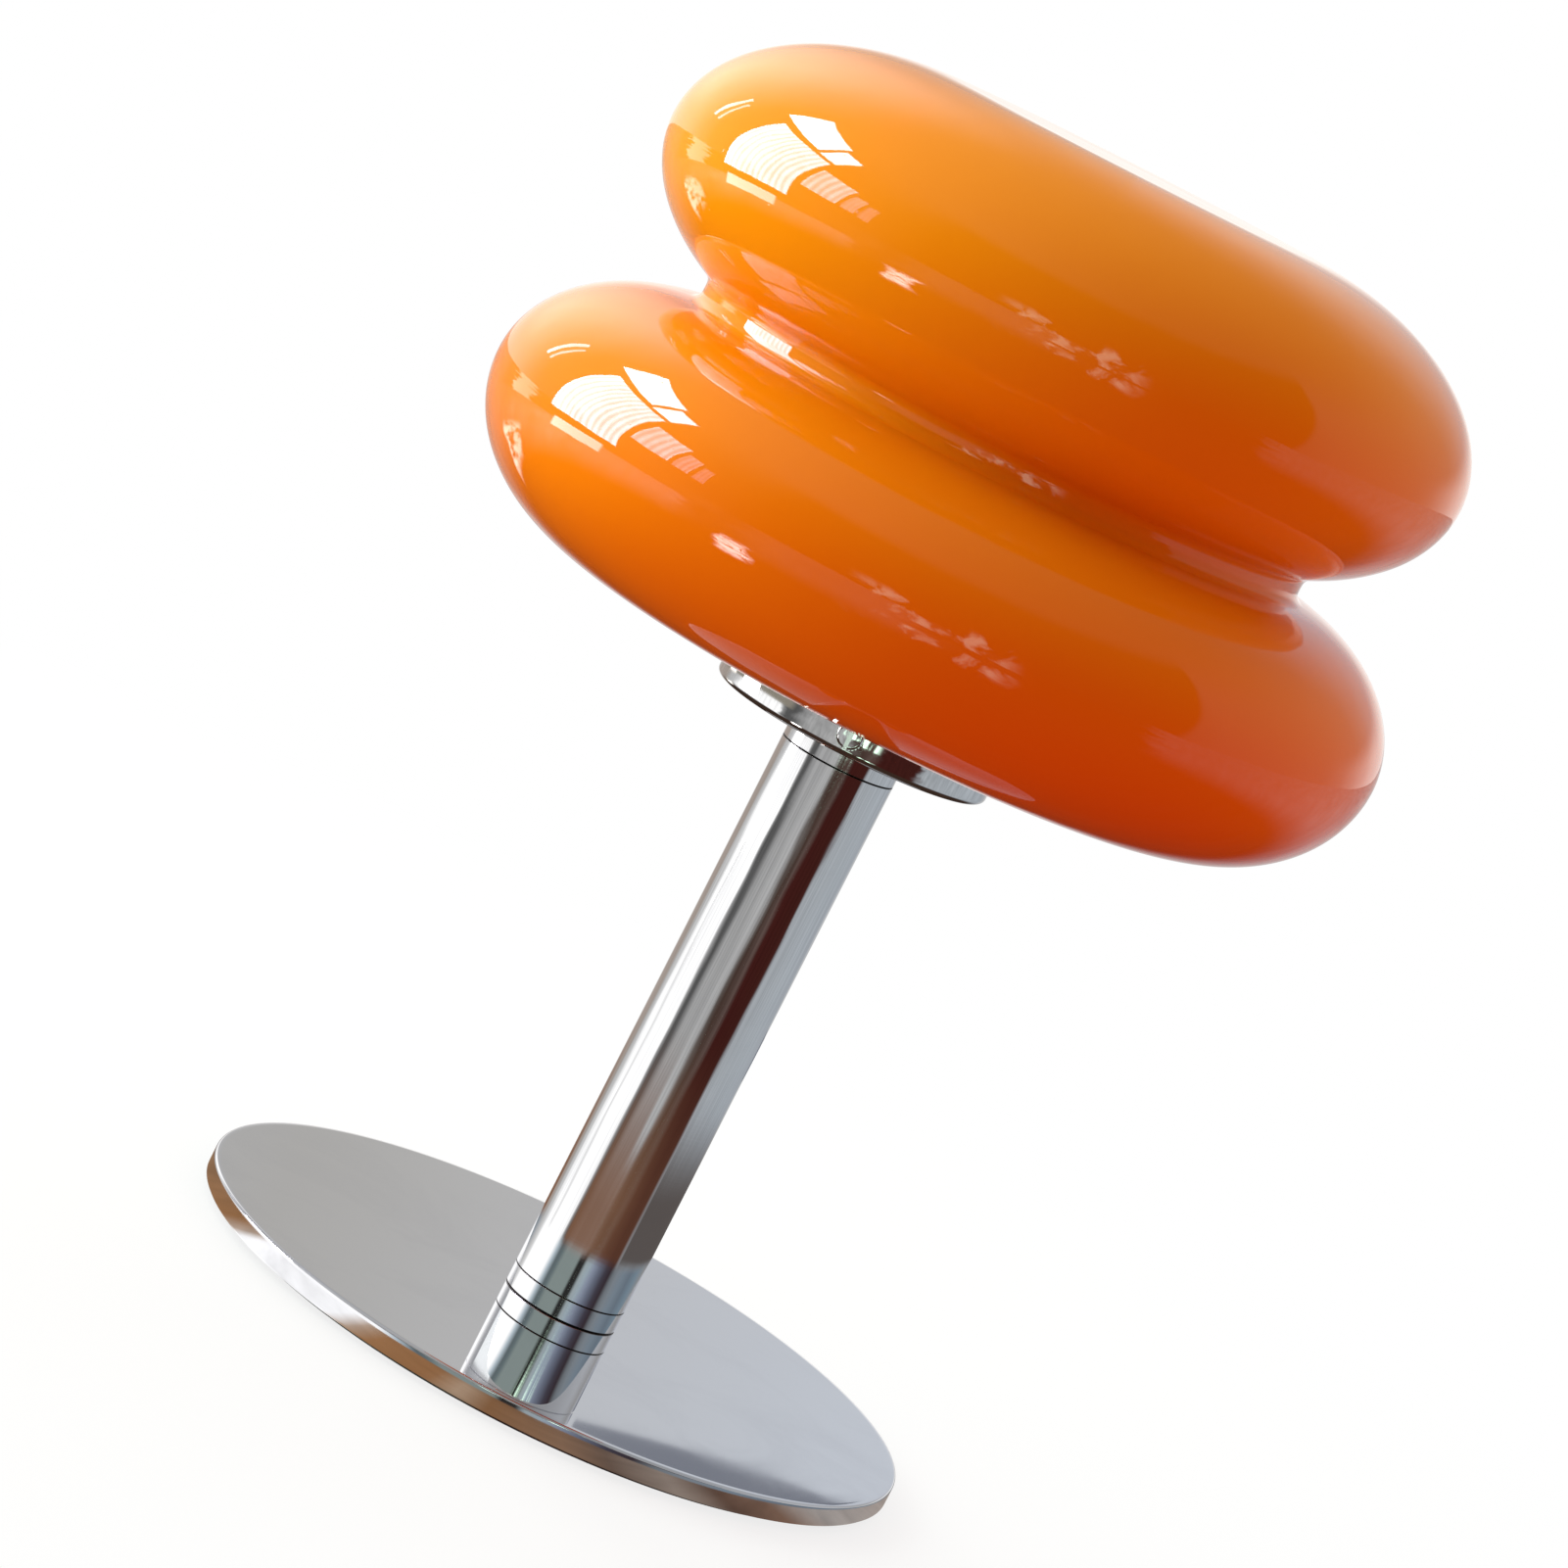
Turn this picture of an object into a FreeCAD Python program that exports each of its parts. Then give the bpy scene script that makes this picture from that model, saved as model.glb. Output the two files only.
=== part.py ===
"""Bedside table lamp: a two-lobed blown glass shade on a chromed stem that stands at the edge of a round plate.

Millimetres, +Z up. The origin is the centre of the pad's underside, where the lamp meets the table.
The front is -Y: the stem stands there, just inside the plate's edge.
"""
import FreeCAD, Part
import math
import os

Vec = FreeCAD.Vector
UP = Vec(0, 0, 1)

# Base: a steel plate on a thin pad
base_dia = 180.0
plate_t = 5.5
plate_edge_r = 2.0        # rounding of the plate's top edge
plate_foot_chamfer = 0.6  # bevel of the plate's bottom edge
pad_t = 1.5
pad_inset = 4.0           # from the plate's rim to the pad's rim

# Stem: one tube outside, in three lengths joined by turned inserts with collars of the same diameter
stem_od = 27.0
stem_wall = 1.5
stem_margin = 2.0         # from the plate's rim to the stem's outer face
foot_tube_h = 15.4
foot_collar_h = 5.1
stem_collar_h = 5.1
stem_tube_h = 133.1
top_collar_h = 5.8
joint_groove = 0.5        # bevel on both sides of the joint that the stem unscrews at
collar_bevel = 0.15       # broken edge at the other seams
spigot_h = 12.0           # how far an insert reaches into the stem's tube
foot_spigot_h = 2.4       # and into the foot's tube, where the cord's way leaves little room
fit = 0.05                # radial clearance of a spigot or thread in its hole

# Hollow nipples that the cord passes through
nipple_od = 10.0
nipple_bore = 7.4
nipple_inset = 3.0        # from the end of an insert to the end of the nipple in it

# Foot: a flange inside the foot's tube, screwed down from below
foot_flange_h = 3.5
foot_flange_bore = 7.0
base_screw_count = 3
base_screw_pcd = 15.5
base_screw_dia = 4.0
base_screw_head_dia = 7.6
base_screw_sink = 0.3     # head below the plate's underside
base_screw_hole_gap = 0.25

# Cord inlet: a grommet in the back of the foot's tube
grommet_dia = 8.0         # waist, in the tube's hole
grommet_bore = 5.6
grommet_lip_dia = 9.2
grommet_lip_t = 1.6

# Gallery: the cup that carries the shade
gallery_dia = 65.6
gallery_t = 1.2
gallery_h = 10.2
gallery_edge_r = 3.0
gasket_t = 0.9
gasket_w = 3.4
washer_dia = 22.0
washer_t = 1.2
nut_flats = 14.0
nut_t = 3.0

# Holding screws: three, radial, through the gallery's wall to the shade's neck
hold_screw_count = 3
hold_screw_dia = 3.0
hold_screw_tip_dia = 2.2
hold_screw_tip_len = 1.0
hold_screw_head_dia = 6.4
hold_screw_head_t = 3.2
hold_screw_stand_off = 1.6  # from the gallery's wall to the head
hold_screw_slot_w = 0.9
hold_screw_slot_d = 1.0
hold_screw_z = 4.0          # axis above the gallery's floor
hold_screw_gap = 0.3        # from the tip to the neck

# Shade: blown glass, two lobes with elliptical sides and a waist between them
glass_t = 2.5
neck_dia = 57.0
neck_h = 8.9
neck_fillet = 1.2
neck_rim_r = 0.6
lower_r = 106.8           # radius at the lower lobe's equator
lower_reach = 37.3        # how far its rounded side comes in
lower_drop = 31.1         # from its equator down to the flat underside
lower_rise = 29.0
upper_r = 95.5
upper_reach = 52.6
upper_drop = 33.9
upper_rise = 33.9
waist_r = 72.6
waist_h = 5.6             # straight height between the lobes at the waist, before its fillets
waist_fillet = 2.6
crown_skirt = 1.0         # how far the crown reaches below its own inner face
shoulder_w = 8.0          # width of the flat ring of glass about the neck's bore

# Lamp holder
holder_dia = 28.0
holder_cap_h = 13.0
holder_cap_t = 1.6
holder_body_h = 24.0
holder_lap = 4.0          # how far the body reaches into the cap
shell_dia = 15.4
shell_t = 0.5
shell_h = 16.0
contact_dia = 7.0
contact_t = 0.6
contact_rise = 1.4

# Bulb: a small globe with a narrow screw cap
bulb_len = 78.0
bulb_globe_dia = 45.0
bulb_cap_dia = 13.8
bulb_cap_h = 15.0
bulb_cap_t = 0.4
bulb_insulator_h = 2.6
bulb_tip_dia = 5.2
bulb_tip_h = 1.2
bulb_glass_t = 0.9
bulb_shoulder_r = 10.0    # flare from the bulb's neck to its globe
bulb_seat_gap = 0.3       # from the tip to the holder's contact

# Levels and radii that follow from the sizes above
stem_r = stem_od / 2
tube_bore_r = stem_r - stem_wall
stem_y = -(base_dia / 2 - stem_margin - stem_r)
z_plate = pad_t
z_plate_top = z_plate + plate_t
z_foot_top = z_plate_top + foot_tube_h
z_inlet = (z_plate_top + foot_flange_h + z_foot_top - foot_spigot_h) / 2
z_joint = z_foot_top + foot_collar_h
z_stem = z_joint + stem_collar_h
z_stem_top = z_stem + stem_tube_h
z_gallery = z_stem_top + top_collar_h
z_floor = z_gallery + gallery_t
z_seat = z_floor + gasket_t
z_shade = z_seat + neck_h
z_lower = z_shade + lower_drop
z_washer_top = z_floor + washer_t
z_holder = z_washer_top + nut_t
z_holder_rim = z_holder + holder_cap_h
z_holder_top = z_holder_rim + holder_body_h
z_shell_top = z_holder_top - holder_cap_t
z_socket = z_shell_top - shell_h
z_bulb = z_socket + contact_t + contact_rise + bulb_seat_gap
z_bulb_cap = z_bulb + bulb_tip_h + bulb_insulator_h
z_globe = z_bulb + bulb_len - bulb_globe_dia / 2
gallery_r = gallery_dia / 2
neck_r = neck_dia / 2
nipple_r = nipple_od / 2


def side_height(equator_r, reach, height, skin, r):
    """How far a lobe's side stands above or below its equator at a radius, drawn in by the skin."""
    along = max(0.0, r - (equator_r - reach)) / (reach - skin)
    return (height - skin) * math.sqrt(1 - along ** 2)


z_waist = z_lower + side_height(lower_r, lower_reach, lower_rise, 0, waist_r)
z_upper = z_waist + waist_h + side_height(upper_r, upper_reach, upper_drop, 0, waist_r)
z_shade_top = z_upper + upper_rise


def at_stem(shape):
    """A shape drawn about the Z axis, moved to the stem's axis."""
    return shape.translated(Vec(0, stem_y, 0))


def line(p, q):
    return Part.LineSegment(Vec(p[0], 0, p[1]), Vec(q[0], 0, q[1])).toShape()


def quarter_ellipse(start, corner, end):
    """Exact quarter of an ellipse between two points whose tangents meet at the corner."""
    curve = Part.BezierCurve()
    curve.setPoles([Vec(r, 0, z) for r, z in (start, corner, end)])
    curve.setWeight(2, math.sqrt(0.5))
    return curve.toShape()


def spun(edges):
    """Solid of revolution about Z from the edges of a closed outline in the (r, z) plane."""
    face = Part.Face(Part.Wire(Part.__sortEdges__(edges)))
    return face.revolve(Vec(0, 0, 0), UP, 360)


def turned(points):
    """Turned piece on the stem's axis, from the corners of its half section, in (r, z)."""
    loop = list(points) + [points[0]]
    return at_stem(spun([line(p, q) for p, q in zip(loop, loop[1:])]))


def ring(outer_r, inner_r, z0, z1):
    return turned([(inner_r, z0), (outer_r, z0), (outer_r, z1), (inner_r, z1)])


def around_stem(shape, count):
    """Copies of a shape turned evenly about the stem's axis."""
    return [shape.rotated(Vec(0, stem_y, 0), UP, 360.0 * k / count) for k in range(count)]


def round_rims(shape, radius, at_r, z_low, z_high):
    """Rounds the closed round edges of one radius that lie between two levels."""
    def picked(edge):
        same_size = abs(edge.Length / (2 * math.pi) - at_r) < 0.01
        return edge.isClosed() and same_size and z_low < edge.CenterOfMass.z < z_high
    return shape.makeFillet(radius, [e for e in shape.Edges if picked(e)])


# Base
def base_screw_axes():
    """One point below each base screw, evenly about the stem, with one of them towards the back."""
    step = 2 * math.pi / base_screw_count
    r = base_screw_pcd / 2
    return [Vec(r * math.sin(k * step), stem_y + r * math.cos(k * step), 0) for k in range(base_screw_count)]


def make_base_plate():
    r = base_dia / 2
    plate = Part.makeCylinder(r, plate_t, Vec(0, 0, z_plate))
    plate = round_rims(plate, plate_edge_r, r, z_plate + plate_t / 2, z_plate_top + 1)
    foot_edge = [e for e in plate.Edges if isinstance(e.Curve, Part.Circle) and abs(e.Curve.Center.z - z_plate) < 0.01]
    plate = plate.makeChamfer(plate_foot_chamfer, foot_edge)
    hole_r = base_screw_dia / 2 + base_screw_hole_gap
    sink_r = base_screw_head_dia / 2 + base_screw_hole_gap
    for axis in base_screw_axes():
        hole = Part.makeCylinder(hole_r, plate_t, axis + Vec(0, 0, z_plate))
        mouth = Part.makeCylinder(sink_r, base_screw_sink, axis + Vec(0, 0, z_plate))
        cone = Part.makeCone(sink_r, hole_r, sink_r - hole_r, axis + Vec(0, 0, z_plate + base_screw_sink))
        plate = plate.cut([hole, mouth, cone])
    return plate


def make_base_pad():
    return Part.makeCylinder(base_dia / 2 - pad_inset, pad_t)


def make_base_screws():
    """Countersunk screws from the plate's underside into the foot's flange."""
    head_r = base_screw_head_dia / 2
    shank_r = base_screw_dia / 2
    z0 = z_plate + base_screw_sink
    z1 = z_plate_top + foot_flange_h - base_screw_sink
    screws = []
    for axis in base_screw_axes():
        head = Part.makeCone(head_r, shank_r, head_r - shank_r, axis + Vec(0, 0, z0))
        shank = Part.makeCylinder(shank_r, z1 - z0 - (head_r - shank_r), axis + Vec(0, 0, z0 + head_r - shank_r))
        screws.append(head.fuse(shank).removeSplitter())
    return Part.makeCompound(screws)


# Stem
def make_foot_flange():
    r = tube_bore_r - fit
    flange = ring(r, foot_flange_bore / 2, z_plate_top, z_plate_top + foot_flange_h)
    hole_r = base_screw_dia / 2 + fit
    return flange.cut([Part.makeCylinder(hole_r, z_foot_top, axis) for axis in base_screw_axes()])


def inlet_rod(radius, y0, y1):
    """Cylinder on the cord inlet's axis, between two distances behind the stem's axis."""
    return Part.makeCylinder(radius, y1 - y0, Vec(0, stem_y + y0, z_inlet), Vec(0, 1, 0))


def make_foot_tube():
    tube = ring(stem_r, tube_bore_r, z_plate_top, z_foot_top)
    return tube.cut(inlet_rod(grommet_dia / 2, 0, stem_od))


def make_cord_grommet():
    """Soft ring whose two lips follow the tube's outer and inner faces."""
    lip_r = grommet_lip_dia / 2
    outside = at_stem(Part.makeCylinder(stem_r, z_foot_top))
    inside = at_stem(Part.makeCylinder(tube_bore_r, z_foot_top))
    outer_lip = inlet_rod(lip_r, stem_r - stem_wall, stem_r + grommet_lip_t).cut(outside)
    inner_lip = inlet_rod(lip_r, tube_bore_r - grommet_lip_t, stem_r).common(inside)
    waist = inlet_rod(grommet_dia / 2 - fit, tube_bore_r - grommet_lip_t, stem_r + grommet_lip_t)
    bore = inlet_rod(grommet_bore / 2, 0, stem_od)
    return waist.fuse([outer_lip, inner_lip]).cut(bore).removeSplitter()


def insert(z_end, z_shoulder, z_face, bevel):
    """Turned insert: a spigot inside a tube and a collar of the tube's diameter, with a bore for a nipple."""
    bore_r = nipple_r + fit
    spigot_r = tube_bore_r - fit
    out = 1 if z_face > z_shoulder else -1
    return turned([
        (bore_r, z_end), (spigot_r, z_end), (spigot_r, z_shoulder),
        (stem_r - collar_bevel, z_shoulder), (stem_r, z_shoulder + out * collar_bevel),
        (stem_r, z_face - out * bevel), (stem_r - bevel, z_face), (bore_r, z_face)])


def make_foot_insert():
    return insert(z_foot_top - foot_spigot_h, z_foot_top, z_joint, joint_groove)


def make_stem_insert():
    return insert(z_stem + spigot_h, z_stem, z_joint, joint_groove)


def make_top_insert():
    return insert(z_stem_top - spigot_h, z_stem_top, z_gallery, collar_bevel)


def make_stem_tube():
    return ring(stem_r, tube_bore_r, z_stem, z_stem_top)


def make_joint_nipple():
    return ring(nipple_r, nipple_bore / 2, z_foot_top - foot_spigot_h, z_stem + spigot_h - nipple_inset)


def make_top_nipple():
    return ring(nipple_r, nipple_bore / 2, z_stem_top - spigot_h + nipple_inset, z_holder + nipple_inset)


# Gallery
def hold_screw_axis_z():
    return z_floor + hold_screw_z


def hold_rod(radius, r0, r1):
    """Cylinder on the front holding screw's axis, between two distances from the stem's axis."""
    return Part.makeCylinder(radius, r1 - r0, Vec(0, stem_y - r0, hold_screw_axis_z()), Vec(0, -1, 0))


def make_gallery():
    outer = Part.makeCylinder(gallery_r, gallery_h, Vec(0, 0, z_gallery))
    outer = round_rims(outer, gallery_edge_r, gallery_r, z_gallery - 1, z_gallery + gallery_h / 2)
    inner_r = gallery_r - gallery_t
    inner = Part.makeCylinder(inner_r, gallery_h, Vec(0, 0, z_floor))
    inner = round_rims(inner, gallery_edge_r - gallery_t, inner_r, z_gallery, z_floor + gallery_h / 2)
    cup = outer.cut(inner)
    for rim_r in (gallery_r, inner_r):
        cup = round_rims(cup, gallery_t * 0.35, rim_r, z_gallery + gallery_h * 0.9, z_gallery + gallery_h + 1)
    cup = at_stem(cup.cut(Part.makeCylinder(nipple_r + fit, z_holder)))
    hole = hold_rod(hold_screw_dia / 2 + fit, neck_r, gallery_dia)
    return cup.cut(around_stem(hole, hold_screw_count))


def make_gasket():
    outer_r = neck_r + gasket_w / 2 - glass_t / 2
    return ring(outer_r, outer_r - gasket_w, z_floor, z_seat)


def make_gallery_washer():
    return ring(washer_dia / 2, nipple_r + fit, z_floor, z_washer_top)


def make_gallery_nut():
    corner_r = nut_flats / 2 / math.cos(math.pi / 6)
    corners = [Vec(corner_r * math.cos(k * math.pi / 3), corner_r * math.sin(k * math.pi / 3), z_washer_top)
               for k in range(7)]
    nut = Part.Face(Part.makePolygon(corners)).extrude(Vec(0, 0, nut_t))
    return at_stem(nut.cut(Part.makeCylinder(nipple_r + fit, z_holder)))


def make_holding_screws():
    """Slotted screws, each ending just short of the shade's neck."""
    tip = neck_r + hold_screw_gap
    head = gallery_r + hold_screw_stand_off
    end = head + hold_screw_head_t
    head_r = hold_screw_head_dia / 2
    shank_r = hold_screw_dia / 2
    knob = hold_rod(head_r, head, end)
    knob = knob.makeFillet(hold_screw_head_t * 0.2, [e for e in knob.Edges if isinstance(e.Curve, Part.Circle)])
    slot = Part.makeBox(hold_screw_slot_w, hold_screw_slot_d, hold_screw_head_dia,
                        Vec(-hold_screw_slot_w / 2, stem_y - end, hold_screw_axis_z() - head_r))
    tip_rod = hold_rod(hold_screw_tip_dia / 2, tip, tip + hold_screw_tip_len)
    shank = hold_rod(shank_r, tip + hold_screw_tip_len, head)
    screw = knob.cut(slot).fuse([shank, tip_rod]).removeSplitter()
    return around_stem(screw, hold_screw_count)


# Shade
def lobe(equator_r, reach, z_equator, drop, rise, skin):
    """Solid lobe with a flat top and bottom and elliptical sides, drawn in from the outside by the skin."""
    side = equator_r - skin
    inner = equator_r - reach
    low = z_equator - drop + skin
    high = z_equator + rise - skin
    return spun([
        line((0, low), (inner, low)),
        quarter_ellipse((inner, low), (side, low), (side, z_equator)),
        quarter_ellipse((side, z_equator), (side, high), (inner, high)),
        line((inner, high), (0, high)),
        line((0, high), (0, low))])


def blown_form(skin, z_mouth):
    """The shade's form as a solid, drawn in by the skin: two lobes, the waist between them and the neck."""
    lower = lobe(lower_r, lower_reach, z_lower, lower_drop, lower_rise, skin)
    upper = lobe(upper_r, upper_reach, z_upper, upper_drop, upper_rise, skin)
    waist = Part.makeCylinder(waist_r - skin, z_upper - z_lower, Vec(0, 0, z_lower))
    neck = Part.makeCylinder(neck_r - skin, z_lower - z_mouth, Vec(0, 0, z_mouth))
    form = lower.fuse([upper, waist, neck]).removeSplitter()
    band = (z_upper - side_height(upper_r, upper_reach, upper_drop, skin, waist_r - skin)
            - z_lower - side_height(lower_r, lower_reach, lower_rise, skin, waist_r - skin))
    form = round_rims(form, min(waist_fillet + skin, band / 2), waist_r - skin, z_lower, z_upper)
    return round_rims(form, neck_fillet + skin, neck_r - skin, z_shade - neck_h / 2, z_lower)


def make_shade_glass():
    """The shade's shell, divided below and around the shoulder, at mid waist and under the flat crown."""
    shell = blown_form(0, z_seat).cut(blown_form(glass_t, z_seat - neck_h))
    for rim_r in (neck_r, neck_r - glass_t):
        shell = round_rims(shell, neck_rim_r, rim_r, z_seat - 1, z_seat + neck_rim_r)
    z_neck = z_shade - neck_fillet
    z_waist_mid = z_waist + waist_h / 2
    z_crown = z_shade_top - glass_t - crown_skirt

    def length(low, high, r):
        return shell.common(Part.makeCylinder(r, high - low, Vec(0, 0, low)))

    shoulder = length(z_neck, z_lower, neck_r - glass_t + shoulder_w)
    lengths = {
        "glass_neck": length(z_seat, z_neck, lower_r),
        "glass_shoulder": shoulder,
        "glass_lower_lobe": length(z_neck, z_waist_mid, lower_r + 1).cut(shoulder),
        "glass_upper_lobe": length(z_waist_mid, z_crown, upper_r + 1),
        "glass_crown": length(z_crown, z_shade_top, upper_r)}
    return {name: at_stem(shape) for name, shape in lengths.items()}


# Lamp holder
def make_holder_cap():
    r = holder_dia / 2
    bore_r = nipple_r + fit
    inner_r = r - holder_cap_t
    return turned([
        (bore_r, z_holder), (r - holder_cap_t, z_holder), (r, z_holder + holder_cap_t), (r, z_holder_rim),
        (inner_r, z_holder_rim), (inner_r, z_holder + 2 * holder_cap_t), (bore_r, z_holder + 2 * holder_cap_t)])


def make_holder_body():
    r = holder_dia / 2
    lap_r = r - holder_cap_t - fit
    bore_r = shell_dia / 2 + fit
    z_lap = z_holder_rim - holder_lap
    return turned([
        (0, z_lap), (lap_r, z_lap), (lap_r, z_holder_rim), (r, z_holder_rim),
        (r, z_holder_top - holder_cap_t), (r - holder_cap_t, z_holder_top),
        (bore_r, z_holder_top), (bore_r, z_socket), (0, z_socket)])


def make_holder_shell():
    return ring(shell_dia / 2, shell_dia / 2 - shell_t, z_socket, z_shell_top)


def make_holder_contact():
    r = contact_dia / 2
    z_disc = z_socket + contact_t
    return turned([(0, z_socket), (r, z_socket), (r, z_disc), (r / 2, z_disc),
                   (r / 3, z_disc + contact_rise), (0, z_disc + contact_rise)])


# Bulb
def make_bulb_tip():
    r = bulb_tip_dia / 2
    return turned([(0, z_bulb), (r * 0.7, z_bulb), (r, z_bulb + bulb_tip_h / 2),
                   (r, z_bulb + bulb_tip_h), (0, z_bulb + bulb_tip_h)])


def make_bulb_insulator():
    z0 = z_bulb + bulb_tip_h
    r = bulb_cap_dia / 2 - bulb_cap_t
    return turned([(0, z0), (bulb_tip_dia / 2, z0), (r, z_bulb_cap), (0, z_bulb_cap)])


def make_bulb_cap():
    r = bulb_cap_dia / 2
    return ring(r, r - bulb_cap_t, z_bulb_cap, z_bulb_cap + bulb_cap_h)


def globe_outline(skin):
    """Edges of the bulb's outline from its neck, through the flare, round the globe to the top."""
    neck = bulb_cap_dia / 2 - bulb_cap_t - fit - skin
    flare = bulb_shoulder_r + skin
    ball = bulb_globe_dia / 2 - skin
    flare_r = neck + flare
    flare_z = z_globe - math.sqrt((flare + ball) ** 2 - flare_r ** 2)
    share = ball / (flare + ball)
    touch = (flare_r * share, z_globe + (flare_z - z_globe) * share)
    bend = math.atan2(touch[1] - flare_z, touch[0] - flare_r)
    mid_angle = (math.pi + bend) / 2
    mid = (flare_r + flare * math.cos(mid_angle), flare_z + flare * math.sin(mid_angle))
    z0 = z_bulb_cap
    points = [(neck, flare_z), mid, touch, (ball, z_globe), (0, z_globe + ball)]
    spots = [Vec(r, 0, z) for r, z in points]
    edges = [
        line((neck, z0), (neck, flare_z)),
        Part.Arc(spots[0], spots[1], spots[2]).toShape(),
        Part.Arc(spots[2], spots[3], spots[4]).toShape()]
    return edges, (neck, z0), (0, z_globe + ball)


def make_bulb_globe():
    outer, outer_foot, outer_top = globe_outline(0)
    inner, inner_foot, inner_top = globe_outline(bulb_glass_t)
    return at_stem(spun(outer + inner + [line(outer_foot, inner_foot), line(inner_top, outer_top)]))


nodes = {
    "base_plate": make_base_plate(),
    "base_pad": make_base_pad(),
    "base_screws": make_base_screws(),
    "foot_flange": make_foot_flange(),
    "foot_tube": make_foot_tube(),
    "cord_grommet": make_cord_grommet(),
    "foot_insert": make_foot_insert(),
    "joint_nipple": make_joint_nipple(),
    "stem_insert": make_stem_insert(),
    "stem_tube": make_stem_tube(),
    "top_insert": make_top_insert(),
    "top_nipple": make_top_nipple(),
    "gallery": make_gallery(),
    "gasket": make_gasket(),
    "gallery_washer": make_gallery_washer(),
    "gallery_nut": make_gallery_nut(),
    "holder_cap": make_holder_cap(),
    "holder_body": make_holder_body(),
    "holder_shell": make_holder_shell(),
    "holder_contact": make_holder_contact(),
    "bulb_tip": make_bulb_tip(),
    "bulb_insulator": make_bulb_insulator(),
    "bulb_cap": make_bulb_cap(),
    "bulb_globe": make_bulb_globe(),
}
nodes.update(make_shade_glass())
for number, screw in enumerate(make_holding_screws(), 1):
    nodes[f"holding_screw_{number}"] = screw

os.makedirs("parts", exist_ok=True)
for name, shape in nodes.items():
    shape.exportStep(f"parts/{name}.step")
    box = shape.BoundBox
    print(f"{name:18s} valid {shape.isValid()}  solids {len(shape.Solids)}  volume {shape.Volume / 1000:8.2f} cm3"
          f"  z {box.ZMin:6.1f} to {box.ZMax:6.1f}")
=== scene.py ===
import math

import bmesh
import bpy
from mathutils import Matrix, Vector


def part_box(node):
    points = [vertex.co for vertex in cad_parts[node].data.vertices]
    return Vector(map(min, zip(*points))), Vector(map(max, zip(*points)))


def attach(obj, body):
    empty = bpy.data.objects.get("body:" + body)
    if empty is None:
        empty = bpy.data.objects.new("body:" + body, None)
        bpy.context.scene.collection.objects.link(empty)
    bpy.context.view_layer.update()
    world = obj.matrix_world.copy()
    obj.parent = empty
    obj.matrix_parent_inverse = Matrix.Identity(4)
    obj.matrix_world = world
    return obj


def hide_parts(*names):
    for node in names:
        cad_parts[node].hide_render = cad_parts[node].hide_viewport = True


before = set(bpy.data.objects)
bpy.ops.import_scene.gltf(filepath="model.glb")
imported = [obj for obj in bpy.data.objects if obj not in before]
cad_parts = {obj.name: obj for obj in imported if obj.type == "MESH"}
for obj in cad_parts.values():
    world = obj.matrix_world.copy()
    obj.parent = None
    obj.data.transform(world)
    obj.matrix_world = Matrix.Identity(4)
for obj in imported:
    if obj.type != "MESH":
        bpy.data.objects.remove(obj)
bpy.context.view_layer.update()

MM = 0.001
scene = bpy.context.scene
scene.view_settings.view_transform = "Standard"


# Levels and radii, in millimetres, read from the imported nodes
def low_z(name):
    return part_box(name)[0].z / MM


def high_z(name):
    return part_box(name)[1].z / MM


def levels(name):
    return low_z(name), high_z(name)


def radius_of(name):
    low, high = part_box(name)
    return (high.x - low.x) / 2 / MM


origin = Vector((0, 0, 0))
stem_low, stem_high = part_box("stem_tube")
stem_axis = Vector(((stem_low.x + stem_high.x) / 2, (stem_low.y + stem_high.y) / 2, 0))
stem_r = radius_of("stem_tube")
neck_r = radius_of("glass_neck")

# Sizes that several pieces share, in millimetres
nipple_r = 5.0
nipple_hole_r = 3.7
nipple_bore_r = 5.05
fit_gap = 0.05
cup_t = 1.2
sharp_turn = 32.0  # degrees between faces that count as a sharp edge


# Node wiring
def node(tree, kind, given=None, **settings):
    """Adds a node. Inputs take a plain value or a wire, and colours are red, green and blue."""
    made = tree.nodes.new(kind)
    for key, value in settings.items():
        setattr(made, key, value)
    for key, value in (given or {}).items():
        socket = made.inputs[key]
        if isinstance(value, Wire):
            value.feed(socket)
        else:
            socket.default_value = (*value, 1) if socket.type == "RGBA" else value
    return made


def wired(tree, kind, given=None, output=0, **settings):
    """One output of a new node."""
    return Wire(tree, node(tree, kind, given, **settings).outputs[output])


def wires(tree, kind, given=None, **settings):
    """All outputs of a new node, by name."""
    return {socket.name: Wire(tree, socket) for socket in node(tree, kind, given, **settings).outputs}


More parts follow.
